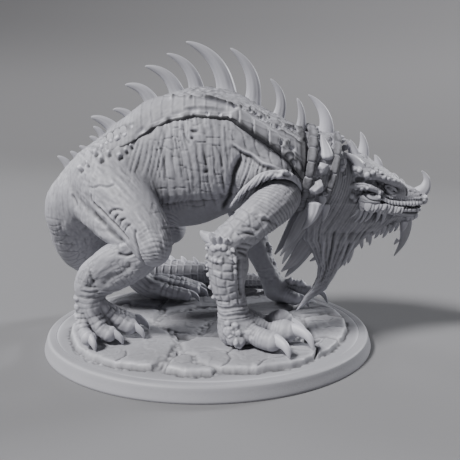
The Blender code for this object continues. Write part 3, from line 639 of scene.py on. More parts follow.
def section_distance(y, rise, width, up, down, power):
    """Radial distance to the section |y / width|^power + |rise / reach|^power = 1."""
    share = np.abs(y / width) ** power + np.abs(rise / np.where(rise > 0, up, down)) ** power
    share = np.maximum(share, 1e-4) ** (1 / power)
    return np.hypot(y, rise) * (1 - 1 / share)


def blunt_ends(away, over, blunt):
    """The distance rounded off where points lie past a shape's end by `over`."""
    return np.where(over > 0, np.hypot(np.maximum(away + blunt, 0), over) - blunt, away)


def trunk_section(x):
    """Middle level, half width and reaches up and down of the trunk at x."""
    x = np.clip(x, TRUNK[0, 0], TRUNK[-1, 0])
    return [np.interp(x, TRUNK[:, 0], TRUNK[:, k]) for k in range(1, 5)]


def trunk_field(points):
    """Radial distance to the trunk's section, rounded off past both of its ends."""
    x, y, z = points.T
    middle, width, up, down = trunk_section(x)
    belly = ease(1.6, -1.2, z - LEDGE - 0.10 * (x + 3)) * ease(-17, -11, x) * ease(9, 4, x)
    width = width - 2.6 * belly
    away = section_distance(y, z - middle, width, up, down, SQUARENESS)
    over = np.maximum(TRUNK[0, 0] - x, 0) + np.maximum(x - TRUNK[-1, 0], 0)
    return blunt_ends(away, over, 5.0)


RUMP = [(-31, 0, 48.5, 12.2), (-38.2, 0.6, 42, 10.2), (-41.2, 5, 34, 8.5), (-41.6, 13, 26.6, 7.8),
        (-38.4, 23, 21, 7.0), (-34, 29.4, 17.8, 6.3), (-30, 32.4, 16.2, 5.9)]
THIGHS = {NEAR: [(-30, -7, 50, 9), (-26.5, -11.5, 47.2, 9), (-21.5, -17, 43, 8), (-17, -21.6, 38.3, 6.6),
                 (-14.4, -24.6, 34.4, 5.4)],
          FAR: [(-30, 7, 50, 9), (-26.5, 11, 46.6, 9), (-21.5, 15.5, 41.6, 8), (-17.4, 18.8, 36.6, 6.6),
                (-14, 21.4, 31.6, 5.6)]}
HAMSTRINGS = {NEAR: [(-37, -7, 46, 5.5), (-32, -14, 41.3, 4.2), (-27, -19, 37.4, 3.4),
                     (-22.6, -22, 34.9, 2.9), (-19.4, -23.2, 33.6, 2.4)],
              FAR: [(-37, 7, 46, 5.5), (-32, 12.6, 40.4, 4.2), (-27.6, 16.6, 35.8, 3.4),
                    (-23, 19.4, 32.4, 2.9), (-19.6, 20.8, 31, 2.4)]}
# the fold of skin that hangs over the top of the upper arm
SHOULDER_FOLD = [(6.6, 12.6, 42.8, 0.3), (8.4, 14.6, 45.2, 0.7), (10.4, 16.6, 47.6, 1.1),
                 (12.8, 18.1, 49.7, 1.3), (15.6, 18.5, 51.8, 1.4), (19.1, 18.3, 52.5, 1.4),
                 (22.4, 17.2, 52.2, 1.3), (25.0, 15.4, 50.6, 1.1), (26.6, 13.4, 48.2, 0.8)]
ARMPIT_GROOVE = [(4.4, 40.6), (5.8, 44.2), (7.3, 48.6), (7.8, 52.4), (8.8, 55.4), (10, 58.2)]
SHOULDER_RIDGE = [(6.6, 61.1), (9.7, 59.7), (12.4, 57.9), (15.6, 56.1), (18.8, 54.4), (21.6, 53.6),
                  (25, 51.6)]
# the crease under the fold
ARM_CREASE = [(8.9, 16.0, 43.6, 1.0), (11.1, 16.9, 46.0, 1.3), (13.7, 17.4, 48.4, 1.4),
              (16.4, 17.6, 50.5, 1.4), (19.3, 17.4, 51.1, 1.4), (22.0, 16.5, 51.0, 1.3),
              (24.2, 15.0, 49.7, 1.2), (25.7, 13.2, 47.7, 1.0)]


def body_field(points):
    """The trunk, rump, thighs and shoulders in one smooth skin."""
    body = smooth_min(trunk_field(points), limb(points, RUMP, 1.0), 4.0)
    far_off = 50.0
    for side in (NEAR, FAR):
        here = side * points[:, 1] > -4
        away = np.full(len(points), far_off)
        chosen = points[here]
        thigh = limb(chosen, THIGHS[side], 1.0)
        cord = limb(chosen, HAMSTRINGS[side])
        knee = lump(chosen, (-13.6, -26.3, 33.6) if side == NEAR else (-13.2, 23, 30.8), (4.4, 4.2, 5.0))
        away[here] = smooth_min(smooth_min(thigh, knee, 1.2), cord, 0.7)
        body = smooth_min(body, away, 3.2)
        shoulder = np.full(len(points), far_off)
        mirror = chosen * np.array([1, side, 1])
        shoulder[here] = smooth_min(lump(mirror, (16.2, 11.6, 52), (8.4, 5.9, 7.4)),
                                    limb(mirror, SHOULDER_FOLD), 1.4)
        body = smooth_min(body, shoulder, 1.6)
        body[here] = smooth_max(body[here], -limb(mirror, ARM_CREASE), 0.4)
    return body


KNOB_ROWS = [[(-32.4, 58.1), (-29.3, 60.4), (-26.2, 61.9), (-22.3, 63.4)], [(-30.6, 56.4), (-27, 59)],
             [(-25.2, 57), (-22.8, 59.2), (-20.8, 61.1)], [(-36.5, 53.5), (-33, 56.2)]]
# lines drawn on the thigh and rump, seen from the side: the line, its half width and its rise
LEG_LINES = [([(-32.6, 49.4), (-30.8, 49.2), (-28.8, 49.8), (-26.6, 49.7), (-24.2, 50.4)], 0.26, -0.34),
             ([(-31.2, 44.8), (-31.6, 46.6), (-31.0, 47.6)], 0.35, -0.4),
             ([(-26.2, 41.8), (-25.2, 43.4), (-23.4, 44.0), (-21.4, 43.6)], 0.26, -0.6),
             ([(-24.5, 40.4), (-23.9, 42.0), (-22.6, 42.8)], 0.24, -0.6),
             ([(-23.0, 39.0), (-22.3, 41.0), (-20.6, 41.9)], 0.26, -0.6),
             ([(-21.6, 37.7), (-20.7, 39.6), (-19.2, 40.5)], 0.24, -0.6),
             ([(-23.6, 39.7), (-22.9, 40.9), (-21.6, 41.6)], 0.22, -0.28),
             ([(-22.2, 38.5), (-21.2, 39.9), (-20.1, 40.7)], 0.22, -0.28),
             ([(-18.1, 39.4), (-18.3, 37.2), (-17.8, 34.4), (-17.2, 31.6), (-15.9, 29)], 0.32, -0.62),
             ([(-31.2, 45.4), (-29.6, 43.9), (-28.6, 43.5), (-25.8, 41.0), (-22.7, 38.4), (-20.0, 35.8)],
              0.36, -0.85), ([(-31, 42.6), (-28, 39.9), (-26.6, 39.3)], 0.6, -0.25),
             ([(-27, 38.6), (-24, 36.2), (-21, 35)], 0.6, -0.22),
             ([(-38.5, 47), (-37, 45), (-36.4, 43)], 0.4, -0.4)]
# small welts in front of the shoulder
SHOULDER_WELTS = [[(19.2, 51.6), (21.4, 53.2), (22.6, 52.6)], [(20.2, 53.4), (20.8, 51.8)],
                  [(22.8, 51.4), (24.2, 52.6)]]
# creases of the flank: the line, its half width and its rise
FLANK_LINES = [([(-4.6, 64.6), (-3.2, 64.4), (-1.8, 64.5)], 0.34, -0.75),
               ([(-4.6, 62.8), (-3.9, 62.5), (-3.4, 61.8)], 0.4, -0.8),
               ([(-0.9, 61.5), (-0.6, 58.4), (-0.1, 55.6), (0.2, 52.4)], 0.3, -0.35),
               ([(-0.4, 54.2), (0.1, 52.4)], 0.6, -0.5), ([(4.3, 52.6), (4.7, 50), (5.2, 46.4)], 0.3, -0.45),
               ([(5.2, 66.4), (5.9, 58), (6.6, 50)], 0.24, -0.3),
               ([(-6.6, 66.8), (-5.8, 63), (-4.2, 60.6)], 0.24, -0.4),
               ([(-8.6, 63), (-7.4, 57), (-6.6, 51)], 0.22, -0.36),
               ([(-13.4, 62), (-11.8, 56), (-11.6, 50)], 0.24, -0.3),
               ([(2.2, 61), (3.8, 58.6), (4.6, 54)], 0.22, -0.35),
               ([(-5.6, 55.4), (-4.8, 50), (-4.4, 46.6)], 0.26, -0.36)]


def body_relief(points, normals):
    """Folds, cracks, wrinkles and knobs of the body, drawn in the side view (x, z) of each side."""
    x, y, z = points.T
    relief = np.zeros(len(points))
    side_view = points[:, [0, 2]]
    facing = ease(0.15, 0.5, np.abs(normals[:, 1]))
    # the flank: leathery upright folds that lean forward as they go down, with short cross cracks
    flank = ease(-18, -12, x) * ease(10.4, 7.6, x + 0.10 * (z - 52)) * facing
    tall = points * np.array([1, 1, 0.42])
    spread = x - (1.9 + 0.06 * (x + 3)) * (67 - z) / 21
    spread = spread + 1.3 * noise(tall, 5.5, 7) + 0.42 * noise(points, 3.0, 9)
    fold_at = spread / 2.35
    column = np.floor(fold_at + 0.5)
    flank *= ease(41.6, 44.6, z - 0.1 * (x + 3) - 2.0 * (lattice(column[:, None].astype(np.int64), 10) - 0.5))
    valley = 0.30 + 0.70 * ease(-0.45, 0.30, noise(points * np.array([0.9, 1, 0.3]), 3.2, 8))
    swell = np.cos(2 * math.pi * (fold_at - column))
    flank_relief = 0.31 * valley * pleats(fold_at, 0.085) + 0.10 * swell + 0.22 * noise(tall, 3.6, 41)
    inner_fold = fold_at + 0.5 + 0.25 * noise(tall, 5, 12)
    patchy = ease(0.0, 0.35, noise(points * np.array([0.6, 1, 0.35]), 4, 22))
    flank_relief += 0.20 * pleats(inner_fold, 0.07) * patchy
    brick_at = z / 2.7 + 6 * lattice(column[:, None].astype(np.int64), 9) + 0.3 * noise(points, 3, 4)
    present = lattice(np.stack([column, np.floor(brick_at + 0.5)], 1).astype(np.int64), 17) > 0.38
    flank_relief += 0.27 * present * pleats(brick_at, 0.045) * ease(-0.6, 0.0, noise(points, 2.6, 19))
    flank_relief += 0.11 * rough(points * np.array([1, 1, 0.5]), 1.6, 3, 31)
    relief += flank * flank_relief
    finer = ease(-23, -20, x) * ease(-10, -13, x) * ease(49, 54, z) * facing
    finer_at = (x + 0.22 * (67 - z)) / 1.35 + 0.45 * noise(tall, 4, 33)
    relief += finer * 0.32 * pleats(finer_at, 0.13) * ease(-0.6, 0.2, noise(tall, 3, 34))
    strokes(relief, side_view, FLANK_LINES, 1.0, 1.4, facing)
    # the rib edge: a lip over the hollow belly
    draw(relief, side_view, [(-13, 44.4), (-7, 45.3), (-1, 45.8), (4.4, 45.6)], 0.8, 0.45, 2.0, 2, facing)
    # between flank and shoulder: a deep upright groove from the armpit
    draw(relief, side_view, ARMPIT_GROOVE, 0.75, -1.5, 2.5, 1.5, facing)
    # the shoulder: a ridge, with folds that spread from the armpit below it
    fan = np.degrees(np.arctan2(z - 29, x - 3.7))
    ridge_line = curve(SHOULDER_RIDGE, 5)
    ridge_level = np.interp(x, ridge_line[:, 0], ridge_line[:, 1])
    lower = ease(0.2, 1.2, ridge_level - z) * ease(7.8, 9.0, x - 0.12 * (z - 50)) * ease(20.5, 18.5, x)
    lower *= ease(42.5, 45, z) * ease(0.05, 0.3, np.abs(normals[:, 1])) * ease(7.5, 9, np.abs(y))
    fan_at = fan / 5.6 + 0.22 * noise(points, 4, 41)
    relief += lower * (0.85 * pleats(fan_at, 0.14) + 0.28 * np.cos(2 * math.pi * fan_at))
    relief += lower * 0.30 * pleats(2.7 * fan / 5.6 + 0.3 * noise(points, 3, 42), 0.12)
    sway = np.stack([0 * ridge_line[:, 0], 0.35 * np.sin(1.1 * ridge_line[:, 0])], 1)
    draw(relief, side_view, ridge_line + sway, 0.38, 0.42, 2.5, 2, facing, smooth=False)
    draw(relief, side_view, ridge_line + sway - np.array([0, 0.75]), 0.4, -0.40, 2.5, 2, facing, smooth=False)
    upper = ease(0.4, 1.2, z - ridge_level) * ease(6, 8, x) * ease(27, 24, x) * facing
    steep = (x + 0.35 * z) / 2.9 + 0.35 * noise(points, 3, 45)
    level = (z + 0.5 * x) / 3.1 + 0.4 * noise(points, 3, 47)
    relief += upper * (0.12 * rough(points, 2.2, 3, 44) + 0.30 * pleats(steep, 0.06))
    relief += upper * 0.28 * pleats(level, 0.05) * ease(-0.2, 0.3, noise(points, 4, 48))
    front = ease(19, 21, x) * ease(44, 47, z) * facing * ease(55, 53, z)
    steep = x / 1.7 + 0.12 * (z - 50) + 0.2 * noise(points, 7.0, 3)
    relief += front * (0.22 * pleats(steep, 0.16) + 0.08 * rough(points, 1.2, 3, 46))
    for line in SHOULDER_WELTS:
        draw(relief, side_view, line, 0.5, 0.55, 0.8, 2, facing)
    # the thigh and rump: fine striations down the limb, and a few grooves
    thigh = np.maximum(ease(-15, -19, x + 0.3 * (52 - z)), ease(46, 43, z) * ease(-8, -11, x))
    thigh *= ease(30, 33, z)
    for side in (NEAR, FAR):
        here = np.flatnonzero((side * y > 0) & (x < -6))
        if not len(here):
            continue
        chosen = points[here]
        at_x, at_z = chosen[:, 0], chosen[:, 2]
        along, turn = limb_place(chosen, THIGHS[side], (0, side, 0))
        stretched = np.stack([along * 0.22, turn * 7.0, chosen[:, 1] * 0.1], 1)
        lines = 0.15 * noise(stretched, 0.75, 51) + 0.09 * noise(stretched, 0.35, 52)
        relief[here] += thigh[here] * lines * ease(-40, -34, at_x)
        knee_at = (at_z + 0.09 * (at_x + 13) ** 2 - 30) / 1.15 + 0.5 * noise(chosen, 2.4, 53)
        knee = ease(-18, -16.4, at_x) * ease(-7, -10, at_x) * ease(41, 38.6, at_z) * ease(29, 31, at_z)
        folds = 0.24 * pleats(knee_at, 0.15) * ease(-0.5, 0.3, noise(chosen, 2.5, 59))
        relief[here] += knee * (folds + 0.10 * noise(chosen, 1.2, 54))
    upright = np.stack([x * 1.0, z * 0.16, y * 0.4], 1)
    rump = ease(-26, -31, x) * ease(24, 30, z)
    relief += rump * (0.10 * noise(upright, 0.62, 55) + 0.06 * noise(upright, 0.3, 56)
                      + 0.10 * rough(points, 2.6, 3, 57))
    lift = np.where(y < 0, 0.0, -3.0)     # the far leg sits lower
    leg_view = np.stack([x, z - lift * ease(46, 40, z)], 1)
    strokes(relief, leg_view, LEG_LINES, 0.9, 1.6, facing)
    # knob clusters behind the shield's edge, with pits among them
    random = np.random.default_rng(6)
    for row in KNOB_ROWS:
        for centre in beads(row, 1.9, 7, 0.25):
            radius = random.uniform(0.6, 1.2)
            line = [centre - np.array([0.7, 0.4]) * radius, centre, centre + np.array([0.8, 0.5]) * radius]
            draw(relief, side_view, line, 0.62 * radius, 0.62 * radius, 0.4, 2.4, facing)
            draw(relief, side_view, np.array(line) + np.array([0.5, -1.0]), 0.5, -0.5, 0.4, 2, facing)
    # the tail's root: broad soft scales low on the rump
    scaled = ease(-40, -43, x + 0.4 * (z - 34)) * ease(44, 36, z)
    relief -= scaled * 0.18 * cracks(np.stack([x + y, z], 1), 3.0, 0.3, 61)
    return relief + 0.03 * rough(points, 0.9, 2, 62) * facing * (y < 0)


def make_body():
    points, faces = skin(body_field, (-52, -32, 8), (34, 42, 79), 0.31, body_relief)
    halved("body_skin", points, faces, SKIN,
           (("trunk", "hind_leg_right_upper"), ("hind_leg_left_upper", "tail_1")))


# ---- the back shield and its spines ------------------------------------------------------------------
SHIELD_RISE = 1.5                        # how far the shield stands out from the skin
LIP_WIDTH = 0.7                          # how wide the shield's rounded rim is
# where the segments of the shield's rim meet, as x
RIM_JOINTS = np.array([-30, -26.4, -22.8, -19.6, -16.4, -13.2, -9.8, -4.2, 0.4, 3.9, 6.7, 9.2, 13.1, 17.4,
                       20.8, 24.4, 28])
# above this line the shield is raised and knobbly
KNOB_LINE = np.array([(-16, 74.4), (-10.3, 74.6), (-4.5, 74.4), (0.1, 74.2), (2.4, 73.6), (5.9, 72.7),
                      (10.6, 71.0), (15.9, 68.0), (21.1, 65.2), (25.5, 62.2), (29, 60)])
# foot (x, z), tip (x, z), half thickness at the foot
SPINES = [(-41.2, 52.6, -45.5, 56.8, 1.5), (-38.3, 55, -41.6, 58.2, 1.3), (-35.6, 57.8, -38.8, 59.8, 1.1),
          (-32.6, 61, -35.6, 62.6, 1.0), (-31.4, 63.2, -34.4, 65.6, 1.0), (-28.4, 65.8, -35, 68.4, 1.7),
          (-23.2, 69.4, -28.3, 70.6, 1.1), (-16.4, 72.8, -24.5, 77.8, 2.0), (-8.8, 75, -18.5, 83.2, 2.1),
          (-3.2, 76.2, -12, 86.8, 2.1), (5.6, 75.6, -6.3, 90.2, 2.6), (13.2, 72.6, 6.7, 88.4, 2.2),
          (20.9, 68.6, 18.6, 79.6, 1.6), (27.6, 65.2, 26.6, 74, 1.3)]
COLLAR_SPINE = (35.4, 62.4, 29.9, 75.0, 2.3)


def raised(grid, relief):
    """A grid of rings pushed out along its normals by the relief, an array of the same rows and columns.

    A normal is the cross product of the grid's steps along the columns and along the rows.
    """
    right = np.roll(grid, -1, axis=1) - np.roll(grid, 1, axis=1)
    normal = np.cross(right, np.gradient(grid, axis=0))
    normal = normal / np.maximum(norms(normal), 1e-9)[..., None]
    return grid + normal * relief[..., None]


def section_reach(turn, width, up, down):
    """Distance from the middle to the trunk's section in the direction `turn` from straight up."""
    high = np.where(np.cos(turn) > 0, up, down)
    share = np.abs(np.sin(turn) / width) ** SQUARENESS + np.abs(np.cos(turn) / high) ** SQUARENESS
    return share ** (-1 / SQUARENESS)


# the rim's beads: where each starts and ends, its half width and rise
RIM_BEADS = [((-19.0, 63.0), (-17.9, 64.3), 1.0, 0.8), ((-14.0, 66.1), (-12.1, 67.2), 1.0, 0.8),
             ((-9.5, 68.2), (-7.5, 68.8), 1.0, 0.8), ((-3.9, 70.2), (-2.7, 70.4), 0.8, 0.5),
             ((-2.6, 69.1), (0.4, 69.3), 0.9, 0.6), ((2.0, 69.1), (6.0, 68.9), 0.9, 0.6),
             ((7.6, 67.5), (8.2, 67.1), 0.8, 0.6)]
# pits among the shield's knobs
SHIELD_PITS = [(24.6, 64.6), (27.2, 62.4), (22.5, 61.4), (12.2, 71.0), (-4.5, 73.6), (-9.6, 73.8)]
# rows of knobs: the row, their spacing and their radius
SHIELD_KNOBS = [([(5.4, 72.6), (9.4, 71), (13.4, 69.4), (18.2, 66.6), (22.4, 64.8)], 1.7, 0.75),
                ([(20.6, 61.6), (23, 60.2), (25.4, 58.8)], 1.5, 0.9),
                ([(21.4, 66.9), (24, 65.8), (27, 65.2)], 1.3, 0.8),
                ([(-34, 59.4), (-29.6, 61.8), (-25, 64.4), (-20.4, 66.2)], 2.1, 0.9),
                ([(-39, 54.6), (-35, 57), (-31, 59.4)], 1.8, 0.8),
                ([(-37, 57.6), (-33.4, 61.2), (-29, 64.6)], 2.3, 0.7)]
# cracks in the plain band
SHIELD_CRACKS = [[(13.4, 71), (15.4, 69.8), (17, 68.6)], [(18, 70), (17.2, 68.2)],
                 [(21.4, 57.6), (23, 58.6), (25.8, 56.2), (26.9, 53.4)],
                 [(23, 56.2), (24.2, 56.9), (25.2, 56)]]


def make_shield():
    """Rings round the back: over the top from rim to rim at SHIELD_RISE, and back again under the skin."""
    top = np.stack([TRUNK[:, 0], TRUNK[:, 1] + TRUNK[:, 3]], 1)
    along = distances(top)
    rows = int(along[-1] / (0.30 * COARSER))
    x = np.interp(np.linspace(0.6, along[-1] + 1.2, rows), np.append(along, along[-1] + 2.4),
                  np.append(top[:, 0], 29.0))
    middle, width, up, down = [value[:, None] for value in trunk_section(x)]
    turns = np.linspace(0, 2.4, 240)[None, :]
    levels = middle + (section_reach(turns, width, up, down) + SHIELD_RISE) * np.cos(turns)
    edge_level = np.interp(x, SHIELD_EDGE[:, 0], SHIELD_EDGE[:, 1])
    edge_turn = [np.interp(-level, -row, turns[0]) for level, row in zip(edge_level, levels)]
    edge_turn = np.array(edge_turn)[:, None]
    outer, inner = int(190 / COARSER), 14
    share = np.concatenate([np.linspace(-1, 1, outer), np.linspace(1, -1, inner + 2)[1:-1]])[None, :]
    turn = edge_turn * share
    reach = section_reach(turn, width, up, down)
    from_edge = (1 - np.abs(share)) * edge_turn * reach
    thick = (0.10 + 0.90 * ease(-25, -18, x))[:, None] * SHIELD_RISE
    round_off = np.sqrt(1 - (1 - np.minimum(from_edge / LIP_WIDTH, 1)) ** 2)
    sink = 0.7 - 0.4 * ease(-19, -25, x)[:, None]
    front = ease(5, 10, x)[:, None]
    thick = thick * (1 - 0.52 * (1 - front) * ease(6.5, 2.5, from_edge))
    offset = -sink + (thick + sink) * round_off
    # the rim's rounded segments, longer and squarer towards the shoulder
    at = np.broadcast_to(x[:, None], reach.shape)
    block = (at[..., None] > RIM_JOINTS).sum(-1)
    after = np.append(RIM_JOINTS, 31)[block] - at
    before = at - np.insert(RIM_JOINTS, 0, -33)[block]
    size = after + before
    seam = hump(np.minimum(after, before), 0.24)
    blocky = ease(6, 10, at)
    beaded = ease(-3, -6, at)
    span = 0.80 * beaded + 0.98 * (1 - beaded)      # the share of a segment that its lobe takes up
    lobed = np.clip(1 - np.abs((after - before) / (span * size)) ** (2.4 + 4 * (1 - beaded)), 0, 1) ** 0.5
    segment = np.stack([block, (turn > 0) * 1], -1).reshape(-1, 2)
    fullness = 0.75 + 0.35 * lattice(segment, 3).reshape(at.shape)
    band = 1.5 + 2.3 * blocky
    lobed = 0.7 + 0.3 * lobed
    bump = np.clip(1 - (from_edge / (1.35 * band)) ** (1.6 + 4 * blocky), 0, 1) ** 0.7
    bump = ease(0, 0.4, from_edge) * bump
    on_rim = ease(-21, -18.5, at)
    rounded = (0.46 + 0.46 * blocky) * bump * lobed * fullness
    grooved = 0.35 * (1 - beaded) * seam * ease(band * 1.3, band * 1.1, from_edge)
    offset = offset + on_rim * (rounded - grooved)
    offset[:, outer:] = -1.2
    grid = np.stack([np.broadcast_to(x[:, None], reach.shape), (reach + offset) * np.sin(turn),
                     middle + (reach + offset) * np.cos(turn)], -1)
    flat = grid.reshape(-1, 3)
    px, py, pz = flat.T
    edge = from_edge.ravel()
    side_view = flat[:, [0, 2]]
    on_top = (np.arange(grid.shape[1]) < outer)[None, :].repeat(len(x), 0).ravel()
    relief = np.zeros(len(flat))
    band = band.ravel()
    relief -= 0.30 * hump(edge - band * 2.1, 0.45) * ease(-20, -14, px) * ease(-0.4, 0.2, noise(flat, 4, 80))
    # the knobbly strip along the spine
    line = np.interp(px, KNOB_LINE[:, 0], KNOB_LINE[:, 1]) + 0.35 * noise(flat, 2.4, 71)
    above = ease(-0.25, 0.25, pz - line) * ease(-19, -12, px)
    first, _, number = cells(flat, 1.7, 72)
    relief += above * (0.45 + 0.5 * number * dome(first) + 0.16 * rough(flat, 1.3, 3, 73))
    relief -= 0.35 * hump(pz - line + 0.55, 0.4) * ease(-14, -8, px) * ease(-0.3, 0.5, noise(flat, 3.6, 74))
    draw(relief, side_view, [(-1.0, 74.0), (1.2, 73.4), (4, 72.7), (7.4, 71.7), (10.4, 70.8)],
         0.5, -1.0, 1.2, 1.7)
    draw(relief, side_view, [(-1.4, 75.0), (1.0, 74.4), (3.6, 73.8), (6.4, 73)], 0.45, 0.5, 1.2, 1.8)
    # the plain band below it: a slow waviness, thin cross lines and a few cracks
    plain = (1 - above) * on_top
    relief += plain * (0.10 * rough(flat, 4.5, 3, 75) + 0.035 * rough(flat, 0.9, 2, 76))
    strip = px / 3.1 + 0.15 * noise(flat, 5, 77) + 0.02 * (pz - 70)
    relief += plain * 0.20 * pleats(strip, 0.045) * ease(-30, -12, px) * ease(band, band * 2, edge)
    relief += plain * 0.09 * pleats(px / 1.15 + 0.3 * noise(flat, 4, 78), 0.14) * ease(-14, -24, px)
    relief += plain * 0.16 * pleats((pz + 0.42 * px) / 3.6 + 0.2 * noise(flat, 4, 79), 0.05) * ease(6, 12, px)
    for line in SHIELD_CRACKS:
        draw(relief, side_view, line, 0.24, -0.55, 0.6, 1.4)
    # knobs: two rows by the rim in front, and clusters behind
    random = np.random.default_rng(12)
    for side in (NEAR, FAR):
        here = (side * py > 2) * 1.0
        for row, spacing, big in SHIELD_KNOBS:
            for centre in beads(row, spacing, 13 + side, 0.3):
                radius = big * random.uniform(0.7, 1.3)
                knob(relief, side_view, centre, radius, 0.8 * radius, here * on_top)
    for centre in SHIELD_PITS:
        draw(relief, side_view, [centre, np.array(centre) + 0.3], 0.42, -0.5, 0)
    for at in np.arange(-26, 27.5, 1.15):
        level = np.interp(at, top[:, 0], top[:, 1]) + SHIELD_RISE
        size = 0.55 + 0.5 * random.random()
        knob(relief, flat, (at, random.uniform(-0.5, 0.5), level), size * 1.2, size * 0.9)
    # the rim's beads: where each starts and ends, half width and rise
    for start, end, half, rise in RIM_BEADS:
        draw(relief, side_view, [start, end], half, rise, 0, 2.4, on_top * ease(6, 8, np.abs(py)))
    relief *= on_top
    points, faces = sealed(raised(grid, relief.reshape(reach.shape)))
    piece("shield_plate", points, faces, PLATE, ("back_shield",))


def spike(foot, tip, radius, bow=0.22, flat=0.66, sides=18, rows=26, grooves=0.06, seed=0, flare=0.0,
          full=0.8, butt=0.0):
    """A curved tapering spike: a parabola bowed by a share of its length, of radius r (1 - t)^full + 0.22,
    flared or rounded off like a butt at its foot."""
    foot, tip = np.array(foot, float), np.array(tip, float)
    t = np.linspace(0, 1, rows)[:, None]
    reach = tip - foot
    side = np.cross(np.array([0, 1.0, 0]), reach)
    side /= math.sqrt(side @ side)
    path = foot + reach * t + side * bow * math.sqrt(reach @ reach) * 4 * t * (1 - t)
    share = t[:, 0]
    thickness = radius * (1 - share) ** full * (1 + flare * np.exp(-(share / 0.10) ** 2))
    thickness = thickness + 0.22 * np.sqrt(1 - share ** 8)
    if butt:
        thickness *= np.sqrt(1 - (1 - np.minimum(share / butt, 1)) ** 2) * 0.98 + 0.02

    def ribbed(row, turn):
        rib = np.cos(5 * turn + seed) * 0.6 + np.cos(9 * turn + 2 * seed + 1.5 * row)
        return 1 + grooves * rib * (1 - row) ** 0.5 * ease(0, 0.12, row)

    return sealed(sweep(path, thickness, sides, (0, 1, 0), flat, ribbed))


def make_spines():
    parts = []
    for count, (x, z, tip_x, tip_z, radius) in enumerate(SPINES):
        slender = math.hypot(tip_x - x, tip_z - z) > 9
        parts.append(spike((x, 0, z - 0.8), (tip_x, 0, tip_z), radius, 0.17 if slender else 0.10,
                           0.62, 28, 48 if slender else 28, seed=count, flare=0.12, full=0.62))
    points, faces = joined(parts)
    piece("back_spines", points, faces, HORN, hollow=0.5)


# ---- the legs ----------------------------------------------------------------------------------------
ARMS = {NEAR: [(22, -11, 46.4, 5.5), (19.6, -16.0, 44.8, 5.8), (16, -19.4, 42.2, 5.5), (12, -21.8, 39.2, 5.0),
               (8.4, -23.2, 36.4, 4.8), (5.8, -24, 33.6, 4.6)],
        FAR: [(21, 9, 46.8, 6.0), (20, 14.6, 44.8, 6.3), (17.6, 18.2, 41.6, 5.9), (15, 20.2, 38, 5.3),
              (13, 21.4, 34.6, 4.7)]}
FOREARMS = {NEAR: [(5.4, -24, 33.8, 4.4), (5.8, -24, 31, 4.9), (6.0, -24, 27.2, 5.1), (6.0, -24, 23, 4.4),
                   (6.7, -24, 20, 3.9), (7.3, -24, 16.8, 4.0), (7.7, -24, 13.6, 4.3),
                   (8.4, -23.7, 10.8, 4.6)],
            FAR: [(12.7, 21.6, 33.2, 4.2), (13.6, 21.2, 30, 4.6), (15.2, 20.5, 26, 4.3), (17, 19.5, 22, 3.7),
                  (19, 18.5, 18, 3.4), (20.6, 17.8, 14.6, 3.4), (22, 17.3, 11.4, 3.7)]}
PALMS = {NEAR: [(8.4, -23.6, 10.6, 4.6), (11, -23.2, 10, 4.1), (13.6, -22.6, 9.4, 3.4)],
         FAR: [(22, 17.2, 10.8, 3.7), (24.2, 17, 9.8, 3.4), (26.4, 16.8, 9.2, 2.8)]}
FORE_TOES = {NEAR: [[(9.4, -25.6, 11.2, 3.0), (13.5, -28, 9.7, 2.6), (16.4, -29.8, 9.2, 2.65),
                     (18.0, -30.7, 9.0, 2.5)],
                    [(10, -22.4, 13.2, 2.7), (14.6, -22.6, 11.3, 1.9), (18.0, -22.9, 10.2, 1.45),
                     (21.6, -23.9, 9.8, 3.1), (23.8, -25.0, 9.9, 1.9)],
                    [(10.6, -19.8, 13, 2.5), (14.8, -18.6, 11.6, 1.8), (17.6, -18.2, 11.0, 1.4),
                     (21.0, -18.4, 11.4, 2.8), (22.6, -18.9, 10.7, 2.1)],
                    [(8.5, -20.4, 11, 2.6), (12, -16, 9.6, 2.2), (14, -13.8, 9, 2.2),
                     (15.6, -12.6, 8.7, 1.9)]],
             FAR: [[(22.2, 15.4, 10.6, 2.5), (25.6, 13.6, 9.5, 2.2), (27.4, 12.9, 9, 2.2),
                    (28.8, 12.5, 8.6, 1.8)],
                   [(23.4, 17.2, 12.4, 2.5), (28, 16.8, 11.2, 2.2), (31, 16.4, 10.6, 2.2),
                    (33.4, 16, 10, 2.1)],
                   [(23, 19.2, 12.2, 2.5), (27.8, 20.8, 10.8, 2.1), (30.6, 21.8, 9.9, 2.1),
                    (32.8, 22.4, 9.1, 1.8)]]}
FORE_CLAWS = {NEAR: [[(17.6, -30.4, 9.2), (19.2, -32, 9.7), (21.2, -34.6, 8.8), (22.2, -36, 6.3)],
                     [(23.2, -24.8, 10.2), (25.2, -26.4, 10.7), (27.8, -28.9, 9.6), (29.2, -30.4, 6.3)],
                     [(22.2, -18.8, 10.2), (24.2, -19.6, 10.5), (26.9, -21, 9.2), (28.3, -22, 6.3)],
                     [(15.2, -12.9, 8.9), (16.8, -12, 9.1), (18.8, -11.1, 8.3), (20, -10.6, 6.3)]],
              FAR: [[(28.4, 12.7, 8.9), (30, 12.3, 9.2), (31.8, 11.7, 8.4), (32.9, 11.2, 6.3)],
                    [(33.2, 16, 10.3), (35.2, 15.7, 10.8), (38, 15, 9.8), (39.6, 14.4, 6.6)],
                    [(32.4, 22.3, 9.3), (34, 22.9, 9.6), (36, 23.7, 8.6), (37.2, 24.2, 6.3)]]}
SHINS = {NEAR: [(-16.2, -22.6, 31, 4.0), (-19.6, -22.2, 28.2, 4.2), (-23.6, -21.4, 25.4, 3.9),
                (-27.6, -20.6, 22.8, 3.3), (-31, -20, 21, 3.0)],
         FAR: [(-15.6, 21.4, 28.4, 4.0), (-19.2, 21.3, 25, 4.2), (-22.4, 21, 21.6, 3.8),
               (-25.2, 20.5, 18.4, 3.3)]}
